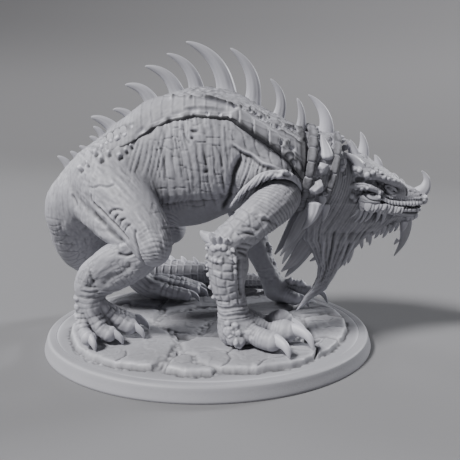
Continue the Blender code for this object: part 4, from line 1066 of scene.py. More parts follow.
CALVES = {NEAR: [(-17.6, -22.6, 32.4, 3.6), (-21.4, -22, 31, 4.4), (-25.4, -21.4, 29.2, 4.6),
                 (-28.8, -20.8, 27, 4.1), (-31.8, -20.3, 24.8, 3.7), (-33.1, -20, 21.8, 3.7)],
          FAR: [(-17.2, 21.3, 30, 3.6), (-21.2, 21.2, 27.6, 4.4), (-24.6, 20.8, 24.2, 4.3),
                (-27, 20.5, 20.8, 3.8), (-27.8, 20.3, 17.8, 3.8)]}
INSTEPS = {NEAR: [(-32.8, -20, 21.4, 3.7), (-32.7, -19.8, 17.4, 3.9), (-32, -19, 13, 4.3),
                  (-30.6, -18, 10.4, 4.2)],
           FAR: [(-27.5, 20.3, 18, 3.7), (-25.4, 20.4, 14.4, 3.8), (-21.6, 20.8, 11, 3.7),
                 (-17, 21.2, 9.4, 3.1)]}
HIND_TOES = {NEAR: [[(-34, -20.6, 17, 2.2), (-34.4, -22.6, 12.6, 1.95), (-33.7, -25, 10, 1.8),
                     (-31.9, -27.3, 8.8, 2.0)],
                    [(-32.6, -22, 16.4, 2.2), (-30.8, -23, 12.2, 1.85), (-28.8, -23.6, 9.9, 1.95),
                     (-26.9, -24.0, 8.9, 2.1)],
                    [(-30.6, -20.8, 16.4, 2.2), (-26.8, -19.2, 12.4, 1.85), (-23.8, -18.6, 10.3, 2.4),
                     (-22.0, -18.8, 9.4, 2.2)],
                    [(-29.6, -17.6, 14.6, 2.3), (-26, -14, 11.2, 2.1), (-23.2, -11.8, 9.4, 2.0),
                     (-21.4, -11.2, 8.7, 1.7)]],
             FAR: [[(-19.4, 19, 11, 2.5), (-14, 17.9, 9.6, 2.2), (-10.4, 17.7, 9.2, 2.1),
                    (-8.2, 17.8, 8.6, 1.8)],
                   [(-18, 21, 12.2, 2.6), (-12.4, 21.3, 10.8, 2.2), (-8.6, 21.8, 10, 2.2),
                    (-5.6, 22.4, 9, 1.9)],
                   [(-18, 23.4, 12.4, 2.5), (-12, 25.3, 11.2, 2.2), (-8.6, 26.6, 10.2, 2.2),
                    (-5.8, 27.6, 9, 1.9)]]}
HIND_CLAWS = {NEAR: [[(-32.2, -26.9, 8.9), (-31.2, -28.2, 9.1), (-30.1, -29.8, 8.2), (-29.4, -30.5, 6.3)],
                     [(-27.2, -23.9, 9), (-25.8, -24.3, 9.2), (-23.9, -24.9, 8.2), (-22.8, -25.2, 6.3)],
                     [(-22.2, -18.8, 9.6), (-20.8, -19.2, 9.6), (-18.8, -19.9, 8.4), (-17.6, -20.2, 6.3)],
                     [(-21.6, -11.2, 9), (-20.2, -11.4, 9.2), (-18.4, -11.8, 8.1), (-17.3, -12, 6.3)]],
              FAR: [[(-8.4, 17.8, 8.9), (-6.8, 17.8, 9.1), (-4.9, 17.6, 8.2), (-3.8, 17.4, 6.3)],
                    [(-5.8, 22.4, 9.2), (-4.2, 22.6, 9.4), (-2.2, 22.8, 8.6), (-1.0, 23, 6.3)],
                    [(-6, 27.5, 9.2), (-4.4, 28.2, 9.4), (-2.6, 29, 8.4), (-1.4, 29.4, 6.3)]]}
SOLE = GROUND - 0.15                     # the soles are flat, a little inside the stones


def toes_field(points, toes, blend):
    """The toes, blended a little into each other."""
    away = None
    for toe in toes:
        here = limb(points, toe, 0.25)
        away = here if away is None else smooth_min(away, here, blend)
    return away


def foreleg_field(side):
    def field(points):
        arm = limb(points, ARMS[side], 0.6)
        fore = limb(points, FOREARMS[side], 0.6)
        elbow = np.array(FOREARMS[side][1][:3])
        bulge = lump(points, elbow + np.array([3.0, -0.6 * side, -2.2]), (3.0, 3.0, 4.6))
        upper = smooth_min(smooth_min(arm, fore, 1.4), bulge, 0.8)
        foot = smooth_min(limb(points, PALMS[side], 0.6), toes_field(points, FORE_TOES[side], 0.7), 1.0)
        if side == NEAR:
            heel = np.minimum(lump(points, (6.6, -25.4, 9.6), (2.9, 2.9, 3.2)),
                              lump(points, (9, -26.8, 9.2), (3, 2.5, 2.8)))
            foot = smooth_min(foot, heel, 1.2)
        return smooth_max(smooth_min(upper, foot, 1.4), SOLE - points[:, 2], 0.5)
    return field


def toe_relief(relief, points, toes, pitch, depth):
    """Rings round each toe and a swelling at its joints, worked out where that toe is the nearest one."""
    reach = np.stack([limb(points, toe) for toe in toes], 1)
    owner = reach.argmin(1)
    for index, toe in enumerate(toes):
        here = np.flatnonzero((owner == index) & (reach[:, index] < 0.8))
        if not len(here):
            continue
        along, turn = limb_place(points[here], toe, (0, 0, 1))
        total = sum(math.dist(a[:3], b[:3]) for a, b in zip(toe, toe[1:]))
        on_toe = ease(1.5, 3.2, along) * ease(total * 0.92, total * 0.72, along)
        top = 0.65 + 0.35 * np.cos(turn)
        wobble = 0.18 * noise(points[here], 1.8, 80 + index) + 0.10 * np.abs(turn)
        fading = 0.55 + 0.45 * ease(-0.4, 0.3, noise(points[here], 2.2, 95))
        rings = pleats(along / pitch + wobble, 0.12) * fading
        relief[here] += on_toe * top * (depth * rings + 0.10 * noise(points[here], 1.1, 90 + index))
        relief[here] += 0.18 * hump(along - total * 0.62, 1.4) * top
        relief[here] += (0.30 * hump(along - (total + 0.2), 0.5) * top
                         - 0.25 * hump(along - (total + 1.2), 0.5))


# folds round the near elbow: the line, its half width and its rise
ARM_LINES = [([(9.3, 31.4), (8.9, 28), (9.2, 24), (9.6, 20.4)], 0.42, -0.6),
             ([(8.4, 33.2), (10.2, 32.2), (11.4, 31)], 0.35, -0.6),
             ([(8.0, 34.2), (10.4, 33.4), (11.8, 32.2)], 0.35, -0.5),
             ([(9.2, 35.4), (11.6, 34.6), (13, 33.4)], 0.35, -0.35),
             ([(14.6, 41.2), (17.2, 40.8), (19.4, 39), (20.4, 37.4)], 0.45, -0.4),
             ([(14, 42.4), (16, 42.2), (17.4, 41)], 0.6, 0.45),
             ([(9.4, 39.8), (12, 39.4), (14.6, 38.2)], 0.4, -0.3),
             ([(8.2, 37.4), (11.6, 37.8), (14, 36.6)], 0.4, -0.35),
             ([(12.6, 36.4), (15.4, 38.4), (17, 40.4)], 0.5, 0.35)]
# the row of knobs down the front of the far forearm and over its foot
FAR_ARM_KNOBS = [(19.9, 18.6, 26.8), (21.8, 17.4, 22.4), (23.8, 16.4, 18.4), (26, 16, 15), (29, 16, 13.2),
                 (32, 16, 12.2)]
# rows of knobs on the near forearm: the row, their spacing and their radius
FOREARM_KNOBS = [([(1.6, 33.6), (4.6, 34.4), (6.6, 32.6), (7.6, 31)], 1.5, 0.85),
                 ([(2.2, 31.6), (3.2, 30.2), (5.4, 30.8)], 1.5, 0.8),
                 ([(7.9, 30), (8.3, 28.2), (8.2, 26.4)], 1.5, 0.65), ([(7.4, 36.2), (5.2, 35.6)], 1.4, 0.8),
                 ([(5.0, 13.6), (7.4, 12.8), (9.6, 12.4)], 1.7, 1.0),
                 ([(5.4, 11.4), (7.6, 10.8), (10.2, 11.0)], 2.0, 1.3),
                 ([(6.4, 9.0), (8.6, 8.4), (10.8, 8.6)], 2.1, 1.45), ([(8, 6.9), (10, 6.8)], 2, 1.2)]


def foreleg_relief(side):
    def relief_of(points, normals):
        relief = np.zeros(len(points))
        x, y, z = points.T
        # the upper arm: fine parallel ridges in front, wrinkles towards the elbow
        along, turn = limb_place(points, ARMS[side], (0, side, 0))
        arm = ease(33, 37, z) * ease(0.0, 1.0, limb(points, FOREARMS[side]))
        arm_length = 24.0
        front = ease(0.2, 1.0, np.sin(turn) * side) if side == NEAR else ease(0.2, 1.0, -np.sin(turn))
        ridges = pleats((along + 1.3 * turn * side) / 0.95 + 0.15 * noise(points, 4, 101), 0.22)
        ridged = ease(13.0, 16.5, x + 0.35 * (z - 42)) * (0.6 + 0.4 * front)
        relief += arm * 0.34 * ridged * ridges * ease(arm_length - 6, arm_length - 11, along)
        stretched = np.stack([along * 0.30, turn * 5.5, y * 0.1], 1)
        relief += arm * (0.10 * noise(stretched, 0.8, 102) + 0.05 * noise(stretched, 0.4, 103))
        near_elbow = arm * ease(arm_length * 0.45, arm_length * 0.75, along)
        crossing = np.stack([along * 0.9, turn * 1.6], 1)
        relief += near_elbow * (0.30 * rough(crossing, 2.2, 2, 104) - 0.20 * cracks(crossing, 2.4, 0.25, 105))
        # the forearm: rows of cushioned plates, knobs up the back and rings at the wrist
        down, around = limb_place(points, FOREARMS[side], (0, side, 0))
        on_fore = ease(35.5, 32, z) * ease(10.5, 12.5, z) * ease(0.6, 0.0, limb(points, FOREARMS[side]) - 0.3)
        pitch, sectors = 2.0, 11
        row = down / pitch + 0.34 * noise(points, 2.6, 106)
        row_number = np.floor(row)
        stagger = lattice(row_number[:, None].astype(np.int64), 107)
        sector = around / (2 * math.pi) * sectors + 0.35 + 0.62 * stagger
        plate = np.minimum(np.abs(row - np.round(row)) * pitch,
                           np.abs(sector - np.round(sector)) * 2 * math.pi * 4.4 / sectors)
        cushion = 1 - np.exp(-(plate / 0.30) ** 2)
        height = 0.35 + 0.65 * lattice(np.stack([row_number, np.floor(sector)], 1).astype(np.int64), 108)
        shaft = on_fore * ease(17.4, 19, z) * ease(33, 31.5, z)
        if side == NEAR:
            open_side = 0.35 + 0.65 * ease(9.9, 9.2, x)
        else:
            open_side = ease(0.1, 0.5, normals[:, 0] + 0.5 * normals[:, 1])
        relief += shaft * open_side * (0.36 * cushion * height - 0.12 + 0.16 * rough(points, 1.8, 2, 112))
        wrist = ease(19.8, 18.6, z) * ease(12.9, 14.2, z) * ease(1.0, 0.2, limb(points, FOREARMS[side]))
        ring_at = (z + 0.25 * np.sin(around * 2) + 0.2 * noise(points, 2.5, 109)) / 2.05
        rings = 0.75 * pleats(ring_at, 0.13) * (0.6 + 0.4 * noise(points, 3, 113))
        relief += wrist * (1 if side == NEAR else 0.25) * (rings + 0.26 * np.cos(2 * math.pi * ring_at))
        relief += wrist * 0.10 * noise(points, 0.9, 110)
        toe_relief(relief, points, FORE_TOES[side], 0.95, 0.20)
        worn = 0.14 * rough(points, 1.6, 3, 114) - 0.12 * cracks(points, 1.5, 0.2, 115)
        relief += ease(13.5, 12.0, z) * ease(14, 12, x) * worn
        relief += 0.035 * rough(points, 0.8, 2, 111)
        random = np.random.default_rng(21)
        if side == FAR:
            for centre in beads(FAR_ARM_KNOBS, 1.25, 23, 0.3):
                radius = random.uniform(0.6, 1.1)
                knob(relief, points, centre, radius + 0.3, radius)
        if side == NEAR:
            side_view = points[:, [0, 2]]
            facing = ease(0.1, 0.5, -normals[:, 1])
            for line, spacing, size in FOREARM_KNOBS:
                for centre in beads(line, spacing, 22, 0.25):
                    radius = size * random.uniform(0.8, 1.2)
                    knob(relief, side_view, centre, radius, 0.55 * radius, facing)
            for level in (33.2, 31.2, 28.4, 26, 22.6, 19.8):
                left = float(np.interp(level, [19, 23, 27, 31, 34], [2.9, 1.7, 1.0, 1.0, 0.9]))
                knob(relief, points, (left, -24.6, level), 0.75, 0.8)
            strokes(relief, side_view, ARM_LINES, 1.0, 1.7, facing)
        return relief
    return relief_of


def hind_field(side):
    def field(points):
        shin = limb(points, SHINS[side], 0.6)
        calf = limb(points, CALVES[side], 0.6)
        leg = smooth_min(shin, calf, 1.9)
        foot = smooth_min(limb(points, INSTEPS[side], 0.8), toes_field(points, HIND_TOES[side], 0.45), 0.9)
        return smooth_max(smooth_min(leg, foot, 1.0), SOLE - points[:, 2], 0.5)
    return field


# knobs behind the ankle: the centre and the radius
ANKLE_KNOBS = [((-36.2, 18.6), 1.0), ((-36, 16.2), 0.9), ((-36.4, 13.6), 1.0)]
# folds of the near shin: the line, its half width and its rise
SHIN_LINES = [([(-19.4, 29.6), (-22.3, 27.0), (-25.5, 25.2), (-28.4, 22.8)], 0.8, -0.30),
              ([(-23.4, 33.2), (-21.3, 34.2), (-19, 34)], 0.9, 0.7),
              ([(-23.6, 32.3), (-21.2, 31.7), (-18.8, 32.4)], 0.4, -0.7),
              ([(-31.8, 27.2), (-31, 24.6), (-30.2, 22.6)], 0.45, -0.45),
              ([(-33.6, 22.6), (-31.6, 22.2), (-29.4, 22)], 0.4, -0.38),
              ([(-34.8, 21.2), (-32, 20.7), (-29, 20.9)], 0.35, -0.32),
              ([(-35.4, 19.6), (-32, 19.4), (-30, 19.9)], 0.3, -0.22)]


def hind_relief(side):
    def relief_of(points, normals):
        relief = np.zeros(len(points))
        y, z = points[:, 1], points[:, 2]
        along, turn = limb_place(points, CALVES[side], (0, side, 0))
        ankle_level = INSTEPS[side][0][2]
        upper = ease(ankle_level - 1, ankle_level + 2, z)
        stretched = np.stack([along * 0.25, turn * 5, y * 0.1], 1)
        relief += upper * (0.12 * noise(stretched, 0.9, 121) + 0.06 * noise(stretched, 0.4, 122))
        cracked = cracks(np.stack([along, turn * 4], 1), 1.6, 0.2, 123)
        relief -= upper * 0.14 * cracked * ease(-0.2, 0.4, noise(points, 4, 124))
        # the ankle and instep: crosswise wrinkles
        down, around = limb_place(points, INSTEPS[side], (0, side, 0))
        cross = ease(ankle_level + 3.4, ankle_level + 1, z) * ease(8.5, 10.5, z)
        wrinkle_at = down / 1.15 + 0.22 * np.sin(around + 0.5) + 0.25 * noise(points, 2.2, 125)
        fading = ease(-0.3, 0.4, noise(points, 3.5, 128)) * (0.12 + 0.30 * ease(4.0, 1.0, down))
        relief += cross * ease(9.5, 6.5, down) * fading * pleats(wrinkle_at, 0.15)
        tendons = pleats(around * 2.4 + 0.3 * noise(points, 4, 129), 0.16)
        relief += ease(4, 7, down) * ease(8.5, 10.5, z) * 0.22 * tendons
        relief += cross * 0.08 * noise(points, 1.0, 126)
        toe_relief(relief, points, HIND_TOES[side], 1.75, 0.30)
        relief += 0.03 * rough(points, 0.8, 2, 127)
        if side == NEAR:
            side_view = points[:, [0, 2]]
            facing = ease(0.1, 0.5, -normals[:, 1])
            strokes(relief, side_view, SHIN_LINES, 1.0, 1.7, facing)
        for centre, radius in ANKLE_KNOBS:
            knob(relief, points[:, [0, 2]], centre, radius, 0.5)
        return relief
    return relief_of


def box_of(groups):
    """The box round all the stations' spheres, a little wider."""
    margin = 2.5
    rows = np.array([station for group in groups for station in group])
    return ((rows[:, :3] - rows[:, 3:]).min(0) - margin, (rows[:, :3] + rows[:, 3:]).max(0) + margin)


def claw(points, radius, seed):
    """A hooked claw through its points: a deep tapering blade with faint grooves."""
    rows = curve(points, 8)
    t = np.linspace(0, 1, len(rows))
    thickness = radius * (1 - t) ** 0.62 * (1 - 0.2 * hump(t, 0.1)) + 0.14 * np.sqrt(1 - t ** 6)

    def ribbed(row, turn):
        return 1 + 0.05 * np.cos(6 * turn + seed) * ease(0.1, 0.3, row) * (1 - row)

    return sealed(sweep(rows, thickness, 16, (0.3, 1, 0.05), 0.78, ribbed))


# spikes round the elbow: how far each leans out from it, and its radius
ELBOW_SPIKES = [((-6.8, -0.4, 4.2), 2.0), ((-4.2, 2.4, 4.2), 1.5), ((-3.6, 4.6, 3.4), 1.2),
                ((-1.6, 5.2, 3.6), 1.2), ((0.6, 5.6, 3.0), 1.1), ((-5.4, 1.8, 0.8), 1.0),
                ((-5.2, -3.4, 2.6), 1.2), ((-5.6, 0.4, -3.4), 0.9), ((-5.4, 0.6, -6.6), 0.8),
                ((-1.4, 5.5, 0.6), 1.0), ((2.4, 5.6, -0.6), 0.9), ((2.8, 5.7, -3.6), 0.9)]


def make_legs():
    for side, word, cell in ((NEAR, "right", 0.24), (FAR, "left", 0.30)):
        low, high = box_of([ARMS[side], FOREARMS[side], PALMS[side]] + FORE_TOES[side])
        points, faces = skin(foreleg_field(side), low, high, cell, foreleg_relief(side))
        piece("foreleg_skin_" + word, points, faces, SKIN,
              ["foreleg_" + word + "_" + part for part in ("upper", "lower", "foot")])
        low, high = box_of([SHINS[side], CALVES[side], INSTEPS[side]] + HIND_TOES[side])
        points, faces = skin(hind_field(side), low, high, cell, hind_relief(side))
        piece("hind_leg_skin_" + word, points, faces, SKIN,
              ["hind_leg_" + word + "_" + part for part in ("lower", "foot")])
        parts = [claw(c, 2.05 if side == NEAR else 1.5, k) for k, c in enumerate(FORE_CLAWS[side])]
        parts += [claw(c, 1.65 if side == NEAR else 1.4, k + 7) for k, c in enumerate(HIND_CLAWS[side])]
        elbow = np.array(FOREARMS[side][0][:3])
        for lean, radius in ELBOW_SPIKES:
            foot = elbow + np.array([0.45 * lean[0], 0.6 * lean[1] * side, 0.4 * lean[2]])
            tip = elbow + np.array([lean[0], lean[1] * side, lean[2]])
            parts.append(spike(foot, tip, radius, -0.10, 0.9, 16, 18, full=0.7))
        points, faces = joined(parts)
        piece("claws_" + word, points, faces, SKIN, hollow=0.5)


# ---- the neck, the throat and the collar -------------------------------------------------------------
# x, level of the middle, half width, reach upwards, reach downwards
NECK = [(24, 53.6, 12.4, 10.8, 10.8), (30, 53, 12.6, 11, 10.6), (35, 51.8, 12, 10.8, 10.4),
        (38.6, 50.8, 10.7, 10.0, 10.2), (41.4, 49.7, 8.4, 8.2, 8.6), (43.6, 49, 6.7, 7.2, 7.4),
        (46, 48.4, 5.4, 6.0, 6.2)]
# the throat's front and rear outlines as (level, x), falling to a point
THROAT_FRONT = np.array([(7.4, 28.2), (8.6, 29.6), (11.6, 33), (14.9, 36.9), (19.6, 39.6), (23.8, 42),
                         (27.6, 44.6), (31.2, 47.6), (33.8, 51.5), (34.9, 57.4), (38.6, 61), (43, 61.6)])
THROAT_REAR = np.array([(7.4, 27.9), (8.6, 28.6), (12.2, 30.3), (15, 32.4), (18.8, 33.9), (22.4, 34),
                        (25.4, 32.6), (28.6, 31), (31.5, 29), (36, 28.5), (43, 28)])
# level, half thickness, offset across
THROAT_THICK = np.array([(7.4, 0.4, 4), (12, 1.0, 3), (15, 1.5, 2.2), (19, 2.1, 1.4), (23.6, 2.7, 0.8),
                         (27.6, 3.4, 0.4), (31, 4.4, 0), (34, 5.2, 0), (37, 6.0, 0), (43, 7.2, 0),
                         (46.5, 5.6, 0), (50, 1.5, 0)])
THROAT_SPURS = [((44.0, 29.6), (43.2, 23.4), 1.2), ((42.6, 26.2), (42.2, 22.6), 0.5),
                ((46.8, 31.6), (47.4, 28.2), 0.8), ((49.4, 33.4), (49.8, 29.2), 0.8),
                ((52.6, 34.6), (51.2, 31.4), 0.7), ((55, 35), (53.7, 31.6), 0.7),
                ((56.6, 35.4), (55.7, 33), 0.5), ((58.2, 36), (57.2, 33.6), 0.45),
                ((35, 21.4), (34.2, 18.9), 0.5), ((33.6, 25.6), (31.4, 24.2), 0.5),
                ((32.4, 28), (30.2, 27), 0.5)]
FRILL_BLADES = [[(34.4, 0, 37, 3), (31.6, 0, 32.6, 2.8), (28.8, 0, 28.4, 2.2), (26, 0, 24.2, 1.4),
                 (22.6, 0, 21, 0.25)],
                [(33.8, 0.8, 35, 2.4), (31.4, 0.8, 30, 2.3), (29, 0.8, 26, 1.9), (26.6, 0.8, 22.4, 1.2),
                 (23.9, 0.8, 19, 0.25)],
                [(31, -3, 41, 2.4), (28.2, -3.2, 36, 2.2), (26, -3.4, 32, 1.7), (24.4, -3.4, 28, 1.0),
                 (22.6, -3.2, 24.2, 0.25)],
                [(30.6, -5, 42, 2.0), (27.8, -5.4, 37.4, 1.8), (25.6, -5.6, 33.4, 1.4), (23.6, -5.4, 30, 0.8),
                 (21.8, -5, 27, 0.25)],
                [(30.6, 4.6, 41.4, 2.2), (27.6, 4.8, 36.6, 2), (25.2, 4.8, 32.4, 1.5), (22.8, 4.4, 28.4, 0.9),
                 (20.8, 4, 25.6, 0.25)],
                [(33, 1.6, 36, 1.6), (31, 2, 31.4, 1.4), (30, 2.2, 28.6, 0.9), (29, 2.2, 26.4, 0.25)]]


def section_field(points, table, power, blunt=3.0):
    """Radial distance to sections (x, middle, half width, up, down), rounded off past both ends."""
    x, y, z = points.T
    rows = curve(table, 5)
    inside = np.clip(x, rows[0, 0], rows[-1, 0])
    middle, width, up, down = [np.interp(inside, rows[:, 0], rows[:, k]) for k in range(1, 5)]
    away = section_distance(y, z - middle, width, up, down, power)
    return blunt_ends(away, np.abs(x - inside), blunt)


def throat_field(points):
    """A hanging sheet: (d / w + 1)^3 + (y / t)^3 = 1, with d the distance inside its outline, w and t
    the width of its rounding and its half thickness at that level."""
    x, y, z = points.T
    (front, front_slant), (rear, rear_slant) = [
        (np.interp(z, level, at), np.sqrt(1 + np.interp(z, level, np.gradient(at, level)) ** 2))
        for level, at in (THROAT_FRONT.T, THROAT_REAR.T)]
    out = smooth_max((x - front) / front_slant, (rear - x) / rear_slant, 0.3)
    out = np.maximum(np.maximum(out, 7.2 - z), z - 41.0 - 30 * ease(47, 44, x))
    thick = np.interp(z, THROAT_THICK[:, 0], THROAT_THICK[:, 1])
    under_jaw = 0.8 * np.interp(x, [44, 48, 54, 60, 63], [6.6, 6.4, 4.6, 3.2, 2.2])
    thick = np.where(x > 44, np.minimum(thick, under_jaw + (thick - under_jaw) * ease(48, 44, x)), thick)
    middle = np.interp(z, THROAT_THICK[:, 0], THROAT_THICK[:, 2])
    width = np.clip((front - rear) * 0.5, 0.3, 6.5)
    inner = np.maximum(out / width + 1, 0)
    return ((inner ** 3 + np.abs((y - middle) / thick) ** 3) ** (1 / 3) - 1) * np.minimum(thick, width)


def neck_field(points):
    low = points[:, 2] < 50
    away = section_field(points, NECK, 2.1)
    away[low] = smooth_min(away[low], throat_field(points[low]), 2.6)
    return away


# knobs on the neck: the centre and the radius
NECK_KNOBS = [((39.2, 55.4), 1.3), ((38.9, 53.6), 0.9), ((42.6, 45.4), 0.9), ((43.6, 44.4), 0.8)]
# strands of the throat: the line, its half width and its rise
THROAT_LINES = [([(44.6, 34), (43.4, 29), (41.6, 23), (38.2, 16), (34.4, 11.4)], 0.6, 0.55),
                ([(41.6, 36), (41.4, 29), (39.6, 22), (36.8, 16)], 0.7, 0.45),
                ([(43, 32), (42.3, 27), (40.3, 21), (37.2, 15)], 0.4, -0.6),
                ([(38, 36), (37.6, 29), (36.4, 22), (34.8, 16)], 0.6, -0.5),
                ([(35.4, 34), (35, 28), (35.2, 22)], 0.5, 0.4),
                ([(50, 37), (47.6, 34), (45.6, 30)], 0.5, -0.5)]


def neck_relief(points, _):
    """Long streaks: upright and bowed on the neck, running down to the point on the throat."""
    x, y, z = points.T
    bowed = x + 0.017 * (z - 48.6) ** 2 - 0.22 * (z - 50)
    low = ease(44, 28, z)
    front = np.interp(z, [7.4, 14.9, 23.8, 31.2, 38, 43], [28.2, 36.9, 42, 48, 54.5, 59])
    rear = np.interp(z, *THROAT_REAR.T)
    share = (x - rear) / np.maximum(front - rear, 0.5)
    wander = 0.25 * noise(points, 5, 201)
    strand = pleats(bowed / 0.85 + wander, 0.20)
    uneven = 0.35 + 0.65 * ease(-0.4, 0.5, noise(np.stack([bowed * 2, z * 0.2, y * 0.3], 1), 2.0, 203))
    finer = pleats(bowed / 0.37 + wander, 0.25)
    relief = (1 - low) * ease(30, 33, x) * uneven * (0.30 * strand + 0.12 * finer)
    relief += low * (0.42 * uneven * pleats(share * 9 + 0.8 * wander, 0.14) * ease(8, 14, z)
                     + 0.18 * pleats(share * 23 + 1.4 * wander, 0.22) * ease(16, 24, z))
    side_view = points[:, [0, 2]]
    strokes(relief, side_view, THROAT_LINES, 3.0, 1.6)
    relief += 0.05 * rough(points, 1.0, 2, 202)
    for centre, radius in NECK_KNOBS:
        knob(relief, side_view, centre, radius, 0.8 * radius)
    return relief


# the collar's two rings: middle, reach to the top, half width, width of the band
HOOPS = [((29.0, 0, 53.2), (1.85, 0, 12.2), 15.6, 2.5), ((35.8, 0, 52.0), (2.35, 0, 11.3), 13.6, 2.1)]


def hoop(middle, top, half_width, width, joints, seed):
    """A ring of rounded blocks: an ellipse swept by a rounded rectangle that dips at each joint."""
    columns, around = 720, 30
    turn = 2 * math.pi * np.arange(columns) / columns
    top = np.array(top, float)
    height = math.sqrt(top @ top)
    up, across = top / height, np.array([0, 1.0, 0])
    forward = np.cross(across, up)
    circle = up * (height * np.cos(turn))[:, None] + across * (half_width * np.sin(turn))[:, None]
    outward = up * (np.cos(turn) / height)[:, None] + across * (np.sin(turn) / half_width)[:, None]
    outward = unit(outward)
    along = distances(circle)
    total = along[-1] * columns / (columns - 1)
    random = np.random.default_rng(seed)
    edges = (np.arange(joints) + random.uniform(-0.16, 0.16, joints)) * total / joints
    block = np.searchsorted(edges, along) % joints
    gap = np.abs(along[:, None] - np.concatenate([edges, edges + total, edges - total])).min(1)
    seam = np.exp(-(gap / 0.20) ** 2)
    shoulder = np.exp(-(gap / 0.75) ** 2)
    size = random.uniform(0.9, 1.1, joints)[block]
    wide = width / 2 * size * (1 - 0.10 * shoulder - 0.16 * seam)
    thick = 1.05 * size * (1 - 0.12 * shoulder - 0.42 * seam)
    v = 2 * math.pi * np.arange(around) / around
    square = (np.abs(np.cos(v)) ** 4 + np.abs(np.sin(v)) ** 4) ** -0.25
    flat, high = square * np.cos(v), square * np.sin(v)
    tilt = random.uniform(-0.10, 0.10, joints)[block]
    middle = np.array(middle, float) + circle
    grid = (middle[:, None] + forward * (wide[:, None] * flat)[..., None]
            + outward[:, None] * (thick[:, None] * high + tilt[:, None] * flat)[..., None])
    points = grid.reshape(-1, 3)
    worn = 0.07 * rough(points, 1.6, 3, seed) + 0.03 * noise(points, 0.4, seed + 4)
    points = raised(grid, worn.reshape(columns, around)).reshape(-1, 3)
    return points, [grid_faces(columns + 1, around) % (columns * around)]


def sleeve():
    """The leather between the collar's rings: ellipses from one ring to the other, rough and lumpy."""
    rows, columns = 60, 420
    t = np.linspace(-0.06, 1.06, rows)[:, None, None]
    turn = (2 * math.pi * np.arange(columns) / columns)[None, :, None]
    middle, top, half = [np.array(rear, float) * (1 - t) + np.array(front, float) * t
                         for rear, front in zip(HOOPS[0][:3], HOOPS[1][:3])]

    def tube(share):
        across = np.array([0, 1.0, 0]) * (half * share * np.sin(turn))
        return middle + top * share * np.cos(turn) + across

    outer = tube(0.985)
    flat = outer.reshape(-1, 3)
    relief = (0.35 * rough(flat, 2.6, 3, 211) + 0.5 * np.clip(noise(flat, 1.9, 214), 0, 1)
              - 0.3 * cracks(flat, 2.6, 0.25, 215))
    outer = raised(outer, -relief.reshape(rows, columns))
    grid = np.concatenate([outer, tube(0.86)[::-1]])
    faces = grid_faces(2 * rows + 1, columns) % (2 * rows * columns)
    return grid.reshape(-1, 3), [faces]


def rock(centre, radii, seed):
    """A chipped stone: in each direction u it reaches to the nearest of several planes, d / (n . u)."""
    rows, columns, facets = 30, 44, 16
    polar = np.linspace(0.04, math.pi - 0.04, rows)
    turn = 2 * math.pi * np.arange(columns) / columns
    across, around = np.meshgrid(polar, turn, indexing="ij")
    direction = np.stack([np.sin(across) * np.cos(around), np.sin(across) * np.sin(around),
                          np.cos(across)], -1)
    random = np.random.default_rng(seed)
    normals = unit(random.normal(size=(facets, 3)))
    depth = random.uniform(0.62, 1.0, facets)
    facing = direction @ normals.T
    reach = np.where(facing > 0.05, depth / np.maximum(facing, 0.05), 9.0)
    soft = (reach ** -14.0).sum(-1) ** (-1 / 14.0)
    grid = np.array(centre, float) + direction * np.minimum(soft, 1.2)[..., None] * np.array(radii, float)
    flat = grid.reshape(-1, 3)
    grid = raised(grid, 0.10 * rough(flat, 0.8, 3, seed).reshape(rows, columns))
    return sealed(grid[::-1])


# small stones on top of the collar: their place and radius
TOP_STONES = [(31.8, -2.2, 65.0, 1.1), (33.6, 2.4, 64.6, 1.0), (38.4, -1.4, 63.4, 1.0),
              (40.2, 1.2, 61.8, 1.1), (39.8, -3.0, 61.4, 0.9), (41.0, -2.2, 59.4, 1.0)]
# small stones on each side of the collar
SIDE_STONES = [(34.2, 12.0, 59.4, 0.9), (33.8, 12.9, 46.6, 0.8), (31.2, 12.8, 59.6, 0.8),
               (39.2, 8.4, 56.4, 1.2), (38.9, 10.0, 54.4, 1.0), (39.6, 9.8, 51.4, 0.7)]


